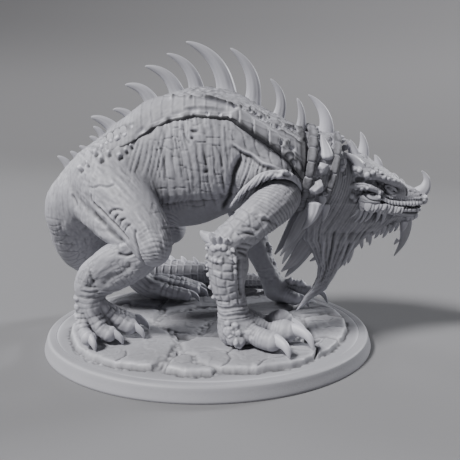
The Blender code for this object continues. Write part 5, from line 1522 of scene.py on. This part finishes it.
def make_front():
    points, faces = skin(neck_field, (20, -15, 5), (64, 15, 67), 0.25, neck_relief)
    piece("neck_skin", points, faces, SKIN, ("neck", "throat"))
    parts = []
    for count, ((x, z), (tip_x, tip_z), radius) in enumerate(THROAT_SPURS):
        y = float(np.interp(z, THROAT_THICK[:, 0], THROAT_THICK[:, 2]))
        parts.append(spike((x, y, z), (tip_x, y, tip_z), radius, -0.06, 0.6, 12, 18, seed=count))
        if z > 33:
            for side in (NEAR, FAR):
                foot = (x - 1.2, y + side * 2.4, z + 0.8)
                tip = (tip_x - 1.5, y + side * 2.9, tip_z + 1.4)
                parts.append(spike(foot, tip, 0.8 * radius, -0.06, 0.7, 12, 16))
    points, faces = joined(parts)
    piece("throat_spurs", points, faces, HORN, hollow=0.4)
    parts = []
    for count, blade in enumerate(FRILL_BLADES):
        rows = curve(blade, 10)

        def veined(row, turn, count=count):
            return 1 + 0.05 * np.cos(8 * turn + count) + 0.04 * np.cos(14 * turn + 3 * row)

        parts.append(sealed(sweep(rows[:, :3], rows[:, 3], 40, (0, 1, 0.01), 0.30, veined)))
    points, faces = joined(parts)
    piece("frill_blades", points, faces, SKIN, ("throat_frill",), hollow=0.3)
    parts = [hoop(*HOOPS[0], 23, 221), hoop(*HOOPS[1], 17, 222), sleeve()]
    random = np.random.default_rng(31)
    for side in (NEAR, FAR):
        parts.append(spike((34.1, side * 12.7, 56.0), (32.5, side * 10.8, 63.4), 2.2, 0.03, 0.8, 26, 36,
                           0.06, butt=0.16))
        parts.append(rock((32.5, side * 14.4, 53.7), (1.9, 1.5, 2.0), 41 + side))
        parts.append(rock((31.1, side * 14.9, 49.1), (2.4, 2.0, 2.9), 44 + side))
        parts.append(spike((31.0, side * 13.0, 44.4), (26.9, side * 16, 36.9), 2.2, -0.10, 0.8, 26, 36,
                           0.09, butt=0.12))
        parts.append(spike((33.2, side * 11.6, 45.8), (31.4, side * 13.6, 42.2), 1.2, -0.1, 0.7, 14, 18))
        parts.append(spike((34.4, side * 10.6, 43.4), (33.2, side * 11.6, 38.4), 1.0, -0.08, 0.6, 14, 18))
        for x, y, z, r in SIDE_STONES:
            parts.append(rock((x, side * y, z), (r, r, r * 1.1), int(random.integers(1000))))
    for x, y, z, r in TOP_STONES:
        parts.append(rock((x, y, z), (r * 1.2, r, r), int(random.integers(1000))))
    x, z, tip_x, tip_z, radius = COLLAR_SPINE
    parts.append(spike((x, 0, z), (tip_x, 0, tip_z), radius, 0.16, 0.62, rows=40, seed=5))
    points, faces = joined(parts)
    piece("collar_rings", points, faces, PLATE, ("collar",))


# ---- the head ----------------------------------------------------------------------------------------
# x, level of the middle, half width, reach upwards, reach downwards
SKULL = [(40.6, 51, 6.4, 6.2, 5.6), (44.1, 51.2, 7.9, 6.9, 6.3), (47.4, 50.4, 8.1, 6.6, 6.3),
         (49.6, 49.6, 7.7, 5.8, 6.0), (52.7, 48.3, 6.5, 5.3, 5.2), (55.8, 46.8, 5.3, 4.6, 4.4),
         (59.6, 45.3, 4.4, 3.2, 3.4), (63, 44.3, 3.7, 2.6, 2.5), (64.6, 43.8, 3.0, 2.1, 2.0)]
JAW = [(43.6, 44.4, 7.2, 3.4, 3.4), (48, 43, 7.2, 2.8, 2.8), (54, 41.2, 5.4, 2.1, 2.1),
       (60, 40.1, 4.0, 1.6, 1.9), (62.6, 39.8, 3.0, 1.4, 1.5)]
BROW = [(43.4, 7.3, 52.6, 1.1), (46.4, 7.6, 52.1, 1.3), (48.6, 7.3, 51.5, 1.3), (51, 6.6, 51.1, 1.35),
        (54.3, 5.8, 49.8, 1.3), (56.6, 4.7, 48.9, 1.15), (58.4, 3.7, 47.7, 0.7)]
CHEEK_FOLD = [(41.0, 7.2, 48.4, 0.8), (44.8, 8.2, 48.5, 0.95), (48.3, 7.9, 47.7, 0.9), (51, 6.9, 46.4, 0.75)]
UPPER_LIP = [(51.6, 6.5, 44.6, 0.8), (53.4, 6.1, 43.5, 0.85), (56.4, 5.1, 42.95, 0.85),
             (59.8, 4.4, 42.75, 0.8), (62.8, 3.5, 42.7, 0.8), (64.8, 1.9, 42.8, 0.8), (65.5, 0, 42.9, 0.8)]
LOWER_LIP = [(53.2, 6.0, 41.9, 0.7), (56.6, 5.0, 41.2, 0.75), (60.2, 4.0, 40.9, 0.8), (62.6, 3.0, 40.8, 0.8),
             (63.9, 1.6, 40.8, 0.8), (64.3, 0, 40.8, 0.8)]
EYES = [(54.5, side * 4.1, 47.1) for side in (NEAR, FAR)]
EYE_RADIUS = 1.05
EYELIDS = [[(53.0, 4.6, 48.2, 0.3), (54.2, 4.9, 48.2, 0.45), (55.4, 4.8, 47.4, 0.45), (56.4, 4.4, 46.4, 0.3)],
           [(52.8, 4.6, 47.8, 0.3), (53.6, 5.0, 47.0, 0.42), (54.6, 5.0, 46.3, 0.42), (55.9, 4.6, 45.8, 0.3)]]
NOSE_HORN = [(62.6, 0, 44.4, 2.2), (64.6, 0, 45.6, 2.1), (66.1, 0, 47.2, 1.7), (66.5, 0, 49.4, 1.1),
             (65.8, 0, 51.2, 0.6), (64.8, 0, 52.3, 0.22)]
CHIN_SPIKE = [(60.4, 0, 39.4, 1.9), (60.8, 0, 36.4, 1.9), (60.6, 0, 33, 1.5), (59.6, 0, 29.6, 0.9),
              (57.5, 0, 26.0, 0.2)]
# foot, tip, radius and bow of the spikes on the head; one off the middle stands on both sides
CROWN = [((46.4, 0, 55.6), (45.8, 0, 64.1), 1.9, 0.10), ((44.4, 2.6, 55.2), (42.2, 3, 61.8), 1.3, 0.06),
         ((51.5, 0, 52.6), (50.3, 0, 57.2), 1.5, 0.10), ((56.9, 0, 49.6), (56.0, 0, 51.7), 1.0, 0.05),
         ((59.2, 0, 47.6), (58.5, 0, 50.0), 0.9, 0.05), ((47.4, 3.6, 54.8), (46.4, 4.2, 57.6), 0.8, 0.05),
         ((42.6, 4.6, 55.2), (40.6, 5.2, 58.0), 0.9, 0.05), ((49.6, 4.4, 52.8), (49.2, 4.9, 54.4), 0.8, 0.05)]
LIP_X = [51.6, 53.4, 56.4, 59.8, 66]      # places along the lips where their levels are given
MOUTH = [(50.8, 43.9), (52.2, 43.2), (53.4, 42.7), (55.4, 42.15), (58, 41.95), (61, 41.85), (64, 41.8),
         (66.6, 41.9)]
CHIN_LINE = [(52.6, 42.2), (54.6, 41.0), (56.6, 40.3), (60, 39.9), (63, 39.8), (64.6, 39.9)]
# the line that the fringe hangs from
FRINGE_LINE = [(45.2, 7.3, 42.8), (47.6, 7.6, 42.2), (50.4, 7.0, 42.0), (53, 6.1, 41.6), (55.6, 5.3, 40.9),
               (58, 4.7, 40.6)]
TEMPLE_HORN = ((45.4, 6.0, 52.4), (39.3, 8.2, 58.1), 1.7)
JAW_SPIKES = [((44.6, 41.6), (42.2, 39.0)), ((45.8, 41), (43.3, 37.4)), ((47.2, 40.8), (44.9, 37.1)),
              ((48.8, 40.6), (46.5, 37.6)), ((51.2, 40.4), (49.8, 37.2)), ((53, 40.4), (51.5, 36.5))]


def head_field(points):
    """Skull and jaw, with brows, lips and cheeks laid on and the eye sockets and ears hollowed out."""
    both = points * np.array([1, 0, 1]) + np.abs(points) * np.array([0, 1, 0])
    skull = section_field(both, SKULL, 2.15, 2.2)
    jaw = section_field(both, JAW, 2.2, 1.6)
    head = smooth_min(skull, jaw, 0.5)
    socket = lump(both, (53.2, 7.0, 47.7), (5.2, 3.7, 2.5))
    head = smooth_max(head, -socket, 1.2)
    head = smooth_max(head, -lump(both, (44.6, 8.6, 50.2), (1.8, 2.3, 1.2)), 0.4)
    head = smooth_max(head, -lump(both, (48.6, 8.7, 49.7), (3.4, 2.2, 1.0)), 0.5)
    head = smooth_max(head, -lump(both, (64.3, 3.2, 45.2), (0.75, 0.9, 0.42)), 0.3)
    near = np.abs(head) < 4
    chosen = both[near]
    part = head[near]
    for line, blend in ((BROW, 0.8), (CHEEK_FOLD, 0.6), (UPPER_LIP, 0.5), (LOWER_LIP, 0.5)):
        part = smooth_min(part, limb(chosen, line), blend)
    part = smooth_min(part, lump(chosen, (47.6, 7.0, 44.3), (3.8, 1.7, 2.1)), 0.4)
    part = smooth_min(part, lump(chosen, (62.6, 0, 38.6), (1.3, 1.5, 1.1)), 0.6)
    for lid in EYELIDS:
        part = smooth_min(part, limb(chosen, lid), 0.3)
    head[near] = part
    return head


# knobs on the brow, the cheek, the nose and the chin: the centre and the radius
HEAD_KNOBS = [((44.2, 53.2), 0.9), ((46.4, 51.7), 0.95), ((48, 52.4), 0.7), ((49.3, 53.1), 0.75),
              ((47.4, 50.9), 0.5), ((42.8, 53.6), 0.8), ((51.4, 50.9), 0.6), ((53, 50.5), 0.55),
              ((45.4, 54.8), 0.7), ((50.6, 52.4), 0.6), ((45, 47.6), 0.6), ((43.4, 47.2), 0.7),
              ((42.2, 46.6), 0.6), ((46.6, 47.9), 0.5), ((54.8, 50.1), 0.45), ((65.4, 44.6), 0.6),
              ((65.2, 43.6), 0.5), ((63.2, 38.6), 0.7), ((62, 37.6), 0.7), ((52.2, 48.9), 0.5)]
# folds of the face: the line, its half width and its rise
FACE_LINES = [([(51.6, 47.2), (52.5, 45.8), (53.9, 44.95), (55.6, 44.7)], 0.22, 0.45),
              ([(52.2, 47.8), (53.0, 46.4), (54.2, 45.5), (56.2, 45.2)], 0.2, 0.40),
              ([(53.1, 46.9), (54.0, 46.0), (55.4, 45.6), (56.6, 45.7)], 0.2, 0.35),
              ([(51.9, 46.6), (52.7, 45.5), (54.1, 44.7)], 0.14, -0.4),
              ([(52.6, 46.9), (53.5, 45.8), (55, 45.2)], 0.14, -0.4),
              ([(50.6, 47.2), (50.4, 45.9), (50.5, 44.4)], 0.4, 0.5),
              ([(51.4, 46.8), (51.2, 45.6), (51.6, 44.6)], 0.25, -0.5),
              ([(45, 47.2), (46.6, 47), (48.4, 46.3), (49.6, 45.8)], 0.3, -0.6),
              ([(44.2, 46.4), (45.4, 46.6), (46.6, 46.2)], 0.3, -0.5),
              ([(46.0, 46.1), (47.0, 44.9), (48.3, 44.3), (49.9, 44.1), (51.2, 44.1)], 0.18, -0.5),
              ([(44.6, 43.8), (46.6, 43.5), (48.8, 43.4), (50.6, 43.3)], 0.13, -0.22),
              ([(45.2, 44.9), (46.2, 44.3), (47.2, 43.9)], 0.12, -0.18),
              ([(47.6, 42.9), (49.4, 43), (51.2, 42.9)], 0.12, -0.2),
              ([(43.4, 43.6), (43.6, 42.6), (44.6, 41.6)], 0.4, -0.5),
              ([(44.6, 45.3), (43.8, 44.2), (44.4, 43.0), (45.8, 42.2)], 0.25, -0.7),
              ([(43.2, 49.0), (45.4, 49.2), (47.6, 48.7)], 0.3, -0.5),
              ([(48.8, 49.8), (50.4, 49.0), (51.4, 48.0)], 0.45, -0.5),
              ([(59, 47.8), (59.6, 46.4), (59.4, 44.9)], 0.3, -0.4),
              ([(60, 46.8), (61.6, 46.2), (63, 46)], 0.25, -0.25),
              ([(61.6, 44.6), (62.8, 44.4), (64, 44.2)], 0.25, 0.25)]


def head_relief(points, normals):
    x, y, z = points.T
    side_view = points[:, [0, 2]]
    relief = np.zeros(len(points))
    facing = ease(0.05, 0.4, np.abs(normals[:, 1]))
    # the top of the skull and the snout: pebbly scales between the brows
    top = np.interp(x, [r[0] for r in SKULL], [r[1] + 0.35 * r[3] for r in SKULL])
    above = ease(-0.5, 0.6, z - top)
    first, second, number = cells(points, 1.05, 301)
    pebble = np.clip((second - first) / 0.45, 0, 1)
    relief += above * (0.08 * pebble + 0.09 * number * pebble)
    fine, beyond, _ = cells(points, 0.62, 302)
    pebbles = np.clip((beyond - fine) / 0.3, 0, 1) - 0.6
    snout = ease(56, 59, x) * ease(43.4, 44.0, z)
    relief += 0.10 * snout * pebbles + 0.05 * (1 - above) * ease(46.6, 47.6, z) * pebbles
    # lips: rows of upright scales
    upper = hump(z - np.interp(x, LIP_X, [44.7, 43.4, 42.95, 42.75, 42.85]), 0.75, 4) * ease(51.6, 52.8, x)
    run = np.where(x < 63.4, x, 63.4 + (4 - np.abs(y)) * 0.8)
    relief += upper * (0.30 * pleats(run / 1.02 + 0.12 * noise(points, 2, 303), 0.17) + 0.14)
    second_row = hump(z - np.interp(x, LIP_X, [46, 44.9, 44.4, 44.1, 44]), 0.42, 4) * ease(52, 54, x)
    relief += second_row * (0.24 * pleats(run / 0.72 + 0.3 + 0.2 * z, 0.2) + 0.14)
    lower = hump(z - np.interp(x, [53, 56.6, 60.2, 66], [41.8, 41.2, 40.9, 40.8]), 0.7, 4) * ease(53, 54.4, x)
    relief += lower * (0.26 * pleats(run / 1.5 + 0.2, 0.14) + 0.10)
    draw(relief, side_view, MOUTH, 0.30, -1.1, 0.5, 2)
    draw(relief, side_view, CHIN_LINE, 0.28, -0.6, 0.6, 2)
    strokes(relief, side_view, FACE_LINES, 0.6, 1.8, facing)
    for centre, radius in HEAD_KNOBS:
        knob(relief, side_view, centre, radius, 0.75 * radius, facing)
    relief += 0.03 * rough(points, 0.6, 2, 304)
    return relief


def mirrored(place, side):
    """The place on that side of the middle plane."""
    return np.array(place) * np.array([1, side, 1])


def leaf(foot, tip, half_width, side):
    """A flat pointed scale with a raised middle rib."""
    t = np.linspace(0, 1, 12)
    foot, tip = np.array(foot, float), np.array(tip, float)
    path = foot + (tip - foot) * t[:, None]
    width = half_width * np.clip(1 - t ** 2.1, 0, 1) ** 0.85 + 0.08
    return sealed(sweep(path, width, 14, (0.12, 1, 0.2 * side), 0.34))


def make_head():
    points, faces = skin(head_field, (38, -10.4, 35), (68, 10.4, 60), 0.175, head_relief)
    piece("head_skin", points, faces, SKIN, ("head", "jaw"), hollow=0.2)
    for side, word, place in ((NEAR, "right", EYES[0]), (FAR, "left", EYES[1])):
        polar = np.linspace(0.05, math.pi - 0.05, 26)
        path = np.array(place) + np.stack([0 * polar, -np.cos(polar) * EYE_RADIUS, 0 * polar], 1)

        def slit(row, turn, side=side):
            front = row if side > 0 else 1 - row
            return 1 - 0.10 * ease(0.86, 0.95, front) * hump(np.cos(turn), 0.45)

        points, faces = sealed(sweep(path, np.sin(polar) * EYE_RADIUS, 36, (1, 0, 0), 1.0, slit))
        piece("eyeball_" + word, points, faces, EYE, ("eye_" + word,), hollow=0.2)
        foot, tip, radius = TEMPLE_HORN
        points, faces = spike(mirrored(foot, side), mirrored(tip, side), radius, 0.12, 1.0, 20, 36, seed=2)
        piece("temple_spike_" + word, points, faces, HORN, ("temple_horn_" + word,), hollow=0.4)
    parts = []
    for foot, tip, radius, bow in CROWN:
        for side in (FAR, NEAR) if foot[1] else (FAR,):
            parts.append(spike(mirrored(foot, side), mirrored(tip, side), radius, bow, 0.8, 18, 30,
                               seed=len(parts)))
    points, faces = joined(parts)
    piece("crown_spikes", points, faces, HORN, hollow=0.4)
    for name, stations, stands_for, flat in (("snout_horn", NOSE_HORN, "nose_horn", 0.8),
                                             ("chin_tusk", CHIN_SPIKE, "chin_spike", 0.55)):
        rows = curve(stations, 9)

        def ribbed(row, turn):
            return 1 + 0.035 * np.cos(9 * turn) * (1 - row) + 0.025 * np.cos(5 * turn + 2 * row)

        points, faces = sealed(sweep(rows[:, :3], rows[:, 3], 28, (0, 1, 0.01), flat, ribbed))
        piece(name, points, faces, HORN, (stands_for,), hollow=0.4)
    random = np.random.default_rng(51)
    parts = [spike((58.6, 0, 31.2), (57.3, 0, 29.5), 0.5, 0, 0.6, 12, 12)]
    for side in (FAR, NEAR):
        parts.append(spike((60.2, side * 0.9, 37), (59.2, side * 1.2, 33.8), 0.8, -0.1, 0.7, 12, 14))
    for side in (NEAR, FAR):
        for level, count, spacing in ((0.0, 0, 1.0), (0.65, 1, 1.15)):
            for number, (x, y, z) in enumerate(beads(FRINGE_LINE, spacing, 52 + count, 0.15)):
                long = random.uniform(1.2, 1.9) * (0.75 if x > 56 else 1)
                out = 0.7 + 0.4 * count + 0.2 * (number % 2)
                parts.append(leaf((x, side * (y - 0.25 + out * 0.5), z + 0.5 + level),
                                  (x + random.uniform(-0.5, 0.3), side * (y + out), z - long + level),
                                  random.uniform(0.95, 1.3), side))
        for (x, z), (tip_x, tip_z) in JAW_SPIKES:
            y = side * float(np.interp(x, [44, 48, 54], [6.2, 5.8, 4.4]))
            parts.append(spike((x, y, z), (tip_x, y * 1.08, tip_z), 0.5, -0.08, 0.8, 10, 12))
        for x, y, z in ((60.9, 2.1, 38.6), (62, 1.6, 38.4), (63, 1.0, 38.7)):
            parts.append(spike((x, side * y, z + 0.4), (x - 0.5, side * y * 1.1, z - 1.3), 0.6, -0.05, 0.8,
                               12, 12))
    points, faces = joined(parts)
    piece("jaw_fringe", points, faces, HORN, hollow=0.3)


# ---- the tail ----------------------------------------------------------------------------------------
TAIL = [(-36.4, 27.0, 19.4, 5.2), (-32.6, 30.8, 17.4, 5.7), (-27.6, 33.6, 15.6, 5.5),
        (-21.5, 35.2, 13.8, 5.2), (-15, 36, 12.4, 4.9), (-8, 36.3, 11.6, 4.6), (-2, 36.4, 11.0, 4.3),
        (9, 36, 9.8, 3.2), (19, 34, 8.6, 2.2), (27.5, 30.4, 7.8, 1.5), (33.5, 26.5, 7.2, 0.7)]


def make_tail():
    """Rings along the tail, with rows of cushioned plates round it and small spikes along its top."""
    rows = curve(TAIL, 34)
    along = distances(rows[:, :3])
    even = np.linspace(0, along[-1], int(along[-1] / (0.26 * COARSER)))
    path = np.stack([np.interp(even, along, rows[:, k]) for k in range(4)], 1)
    columns = 128
    grid = sweep(path[:, :3], path[:, 3], columns, (0, 0, 1))
    flat = grid.reshape(-1, 3)
    turn = 2 * math.pi * np.arange(columns)[None, :] / columns
    along = even[:, None] + 0.35 * np.sin(2 * turn)
    pitch = np.interp(even, [0, 50, 90], [3.4, 2.7, 1.6])[:, None]
    row = along / pitch + 0.12 * noise(flat, 3, 401).reshape(along.shape)
    row_number = np.floor(row)
    sector = turn / (2 * math.pi) * 8 + 0.12 * row_number
    gap = np.minimum(np.abs(row - np.round(row)) * pitch,
                     np.abs(sector - np.round(sector)) * 0.57 * path[:, 3:])
    plate = np.stack([row_number, np.floor(sector)], -1).reshape(-1, 2).astype(np.int64)
    kind = lattice(plate, 402).reshape(gap.shape)
    relief = (0.24 + 0.18 * kind) * (1 - np.exp(-(gap / 0.24) ** 2)) - 0.2
    relief = relief * np.interp(even, [0, 7, 70, 95], [0, 1, 1, 0.5])[:, None]
    relief += 0.06 * rough(flat, 0.9, 2, 403).reshape(gap.shape)
    grid = raised(grid, -relief)
    grid[..., 2] = np.maximum(grid[..., 2], SOLE + 0.02 * np.sin(grid[..., 0]))
    points, faces = sealed(grid)
    parts = [(points, faces)]
    random = np.random.default_rng(71)
    for at in np.arange(8, 74, 4.4):
        x, y, z, radius = [float(np.interp(at, even, path[:, c])) for c in range(4)]
        size = radius * random.uniform(0.16, 0.22)
        tall = radius * random.uniform(0.3, 0.6)
        parts.append(spike((x, y - 0.5, z + radius - 0.4), (x - 1.2, y - 0.6, z + radius + tall), size,
                           0.05, 1, 12, 12))
    points, faces = joined(parts)
    piece("tail_skin", points, faces, SKIN, ("tail_2", "tail_3"))


# ---- the base ----------------------------------------------------------------------------------------
BED_RADIUS = 46.8                        # where the flagstones' bed meets the rim
BED = 4.2                                # level of the ledge round the stones
RIM = [(48.6, 0.0), (49.7, 0.0), (50.0, 0.3), (49.98, 0.9), (49.5, 2.4), (49.2, 3.4), (49.0, 3.8),
       (48.6, 4.1), (48.1, 4.2), (46.8, 4.2), (46.4, 4.18), (46.0, 3.6)]
# outlines of the flagstones, and the level of each one's top
STONES = [([(-42, -13), (-37.5, -25), (-31, -34), (-24, -38.4), (-14, -40), (-9.4, -33.4), (-8.4, -22.5),
            (-11.5, -12.5), (-17, -5), (-26, 0), (-37, 1), (-43.5, -4)], 6.2),
          ([(-10, -41.4), (-8.6, -34), (-6, -30.6), (-2.9, -31.6), (-2.9, -36.8), (3.2, -41.4), (2.4, -44.4),
            (-5, -44.6)], 6.1),
          ([(-7.6, -22), (-5.4, -29.8), (-2.2, -31.2), (-2.2, -36.2), (4.4, -41), (14, -42.4), (23, -38.6),
            (30, -33), (30.6, -26), (26, -20.6), (10, -18.6), (-2, -17)], 6.2),
          ([(31.2, -31.4), (35.6, -27.4), (39, -20.4), (34.4, -17), (31.4, -22.6)], 6.0),
          ([(-1.6, -16), (10, -17.6), (25.6, -19.6), (29.4, -10), (28.6, 0), (24, 6), (12, 5), (1, -2)], 6.1),
          ([(31, -17), (34.4, -16), (39.6, -18.6), (43.4, -9), (44.6, 1), (38, 4.4), (30, 1), (30.4, -9)],
           6.2), ([(29.4, 2.4), (38, 5.6), (44.4, 2.6), (43.4, 11), (39, 19.6), (31, 16.4), (25.6, 8)], 6.2),
          ([(13, 6.6), (24.4, 7.4), (30.4, 17.2), (38, 20.8), (32, 30.4), (20, 35), (10.6, 24), (9, 13)],
           6.2),
          ([(-16, -3.6), (-10.8, -11), (-3, -15.4), (0, -1.4), (11.4, 6.4), (7.8, 13.4), (-4, 12),
            (-14.6, 4)], 5.8),
          ([(-36.6, 2.6), (-25.6, 1.4), (-17, -2.6), (-15.8, 4.8), (-17.4, 12.6), (-28, 16), (-39.6, 14)],
           5.9),
          ([(-16.4, 13.6), (-14.4, 6), (-4.6, 13.4), (7.6, 15), (9.4, 24.6), (-2, 27), (-15, 24.6)], 6.2),
          ([(-39, 15.6), (-28, 17.6), (-17.6, 14.4), (-16, 25.8), (-20, 37), (-30.4, 31.6)], 6.2),
          ([(-14.6, 26.2), (-2, 28.4), (9.6, 26), (18.6, 36), (14, 41.4), (0, 43.8), (-14, 41.4),
            (-18.6, 37.6)], 6.2)]
STONE_CRACKS = [[(-10, -39.6), (-7.4, -37), (-5.4, -37.6), (-3.2, -36.4)],
                [(-37, -18), (-31, -17), (-27, -20), (-22, -19)], [(-24, -38), (-21, -33), (-22, -28)],
                [(4, -40.6), (7, -35), (6, -30), (9, -26)], [(14, -42), (16, -36), (22, -33)],
                [(-2, -30), (4, -29), (8, -30.6)], [(22, -22), (24, -27), (29, -29)],
                [(34, -10), (38, -8), (43, -9)], [(31, -2), (36, -3), (40, 1)],
                [(4, -10), (12, -8), (20, -11), (28, -8)]]


def stone_distance(place, outline):
    """Signed distance from (x, y) places to a closed outline, negative inside."""
    corners = np.array(outline, float)
    best = np.full(len(place), 1e9)
    inside = np.zeros(len(place), bool)
    for a, b in zip(corners, np.roll(corners, -1, 0)):
        step = b - a
        t = np.clip((place - a) @ step / (step @ step), 0, 1)
        best = np.minimum(best, ((place - a - t[:, None] * step) ** 2).sum(1))
        crosses = ((a[1] > place[:, 1]) != (b[1] > place[:, 1]))
        at = a[0] + (place[:, 1] - a[1]) * step[0] / (step[1] if step[1] else 1e-9)
        inside ^= crosses & (place[:, 0] < at)
    return np.where(inside, -1, 1) * np.sqrt(best)


def ground_level(place):
    """Level of the ground: rubble, and above it the stones with worn edges, stepped rims and drawn cracks."""
    wobble = np.stack([noise(place, 3.2, seed) + 0.2 * noise(place, 1.2, seed + 1) for seed in (501, 503)], 1)
    radius = np.hypot(*place.T)
    moved = place * (1 + 0.045 * ease(38, 44, radius))[:, None] + 0.45 * wobble
    first, _, number = cells(place, 1.7, 505)
    rubble = 0.40 * number * dome(first) + 0.15 * rough(place, 1.5, 3, 506)
    rubble = rubble - 0.2 + 1.15 * ease(42, 38, radius)
    stones, closest = np.zeros(len(place)), np.full(len(place), 9.0)
    for count, (outline, top) in enumerate(STONES):
        away = stone_distance(moved, outline) - 0.22 + 0.06 * rough(place, 1.4, 3, 520 + count)
        middle = np.mean(outline, axis=0)
        lean = (lattice(np.array([[count, 0], [count, 1]]), 507) - 0.5) * 0.014
        flat = top - 0.15 + (place - middle) @ lean + 0.10 * rough(place, 9.0, 3, 508 + count)
        worn = flat - 0.50 * np.exp(away / 1.1) - 1.2 * np.exp(away / 0.30)
        ledges = ease(-0.05, 0.05, noise(place, 5.0, 540 + count) - 0.1) - 0.5
        worn += 0.16 * ledges * ease(-0.3, -1.2, away)
        stones = np.maximum(stones, np.where(away < 0.6, worn, 0))
        closest = np.minimum(closest, away)
    level = np.maximum(stones, BED - 0.02 + rubble * ease(1.5, 0.7, closest + 0.4 * noise(place, 3, 511)))
    relief = np.zeros(len(place))
    for line in STONE_CRACKS:
        draw(relief, moved, line, 0.20, -0.5, 1.5, 1.4)
        draw(relief, moved, line, 0.9, -0.10, 1.5, 2)
    pits = np.clip(noise(place, 1.3, 509) - 0.55, 0, 1)
    surface = ease(0.4, -0.3, closest)
    return level + surface * (relief + 0.04 * rough(place, 0.9, 3, 510) - 0.35 * pits)


def turned(profile, columns):
    """A grid of rings: the profile of radius and level turned round the upright axis."""
    turn = 2 * math.pi * np.arange(columns)[None, :] / columns
    return np.stack([profile[:, :1] * np.cos(turn), profile[:, :1] * np.sin(turn),
                     profile[:, 1:] + 0 * turn], -1)


def make_base():
    """A square grid folded onto a disc, x = u sqrt(1 - v^2 / 2), y = v sqrt(1 - u^2 / 2), in a turned rim."""
    count = int(308 / COARSER)
    u, v = np.meshgrid(np.linspace(-1, 1, count), np.linspace(-1, 1, count))
    place = BED_RADIUS * np.stack([u * np.sqrt(1 - v * v / 2), v * np.sqrt(1 - u * u / 2)], -1).reshape(-1, 2)
    level = ground_level(place)
    radius = np.hypot(*place.T)
    level = np.minimum(level, 4.17 + 2.4 * ease(BED_RADIUS - 0.7, BED_RADIUS - 1.8, radius))
    number = np.arange(count * count).reshape(count, count)
    rim = np.concatenate([number[0], number[1:, -1], number[-1, -2::-1], number[-2:0:-1, 0]])
    underside = 1.5
    points = np.vstack([np.column_stack([place, level]),
                        np.column_stack([place[rim], np.full(len(rim), underside)]), [[0, 0, underside]]])
    first = count * count
    ring = np.arange(len(rim))
    right = (ring + 1) % len(rim)
    skirt = np.stack([rim[right], rim, first + ring, first + right], 1)
    under = np.stack([first + right, first + ring, np.full(len(rim), first + len(rim))], 1)
    piece("flagstones", points, [grid_faces(count, count, False), skirt, under], STONE,
          ("base",), hollow=0.3)
    points, faces = sealed(turned(curve(RIM, 5), 360))
    points[-2:, 2] = (0, 3.0)
    piece("base_rim", points, faces, STONE, hollow=0.3)


# ---- camera, light and floor -------------------------------------------------------------------------
CAMERA = (6.65, -194.08, 66.70)
CAMERA_DOWN = 9.53                       # degrees that the camera looks down, along +Y


def look(location, target):
    """The rotation that turns an object's -Z towards the target."""
    return (Vector(target) - Vector(location)).to_track_quat("-Z", "Y").to_euler()


def make_stage():
    scene = bpy.context.scene
    camera = bpy.data.cameras.new("camera")
    camera.lens = 50
    camera.sensor_width = 36
    camera.clip_start = 0.01
    camera.clip_end = 20
    holder = bpy.data.objects.new("camera", camera)
    holder.location = [c * MM for c in CAMERA]
    holder.rotation_euler = (math.radians(90 - CAMERA_DOWN), 0, 0)
    scene.collection.objects.link(holder)
    scene.camera = holder
    for name, place, size, energy, colour in (
            ("key", (-0.32, -0.20, 0.47), 0.22, 5.7, (1.0, 0.99, 0.98)),
            ("front_fill", (0.10, -0.50, 0.20), 0.5, 0.12, (0.96, 0.98, 1.0)),
            ("right_rim", (0.50, 0.34, 0.30), 0.2, 3.3, (0.97, 0.98, 1.0)),
            ("left_rim", (-0.50, 0.40, 0.36), 0.3, 1.3, (0.97, 0.98, 1.0))):
        lamp = bpy.data.lights.new(name, "SUN")
        lamp.angle = size
        lamp.energy = energy
        lamp.color = colour
        lamp_holder = bpy.data.objects.new(name, lamp)
        lamp_holder.location = place
        lamp_holder.rotation_euler = look(place, (0, 0, 0.04))
        scene.collection.objects.link(lamp_holder)
    world = bpy.data.worlds.new("studio")
    world.use_nodes = True
    world.node_tree.nodes["Background"].inputs["Color"].default_value = (0.80, 0.81, 0.84, 1)
    world.node_tree.nodes["Background"].inputs["Strength"].default_value = 0.035
    scene.world = world
    # the floor: a wide flat round that rises softly at its far edge, radius and level in millimetres
    profile = curve([(400, -0.02), (900, -0.02), (1300, 40), (1650, 190), (1800, 420), (1850, 700)], 10)
    columns = 96
    grid = turned(profile, columns) * np.array([1, -1, 1])
    points = np.vstack([grid.reshape(-1, 3), [[0, 0, -0.02]]])
    ring = np.arange(columns)
    middle = np.stack([(ring + 1) % columns, ring, np.full(columns, len(points) - 1)], 1)
    faces = [grid_faces(len(profile), columns), middle]
    floor = bpy.data.objects.new("floor", new_mesh("floor", points, faces))
    floor.data.shade_smooth()
    scene.collection.objects.link(floor)
    paper = bpy.data.materials.new("pale_paper")
    paper.use_nodes = True
    paper.node_tree.nodes["Principled BSDF"].inputs["Base Color"].default_value = (0.17, 0.17, 0.178, 1)
    paper.node_tree.nodes["Principled BSDF"].inputs["Roughness"].default_value = 0.9
    floor.data.materials.append(paper)


make_stage()
make_body()
make_shield()
make_spines()
make_legs()
make_front()
make_head()
make_tail()
make_base()
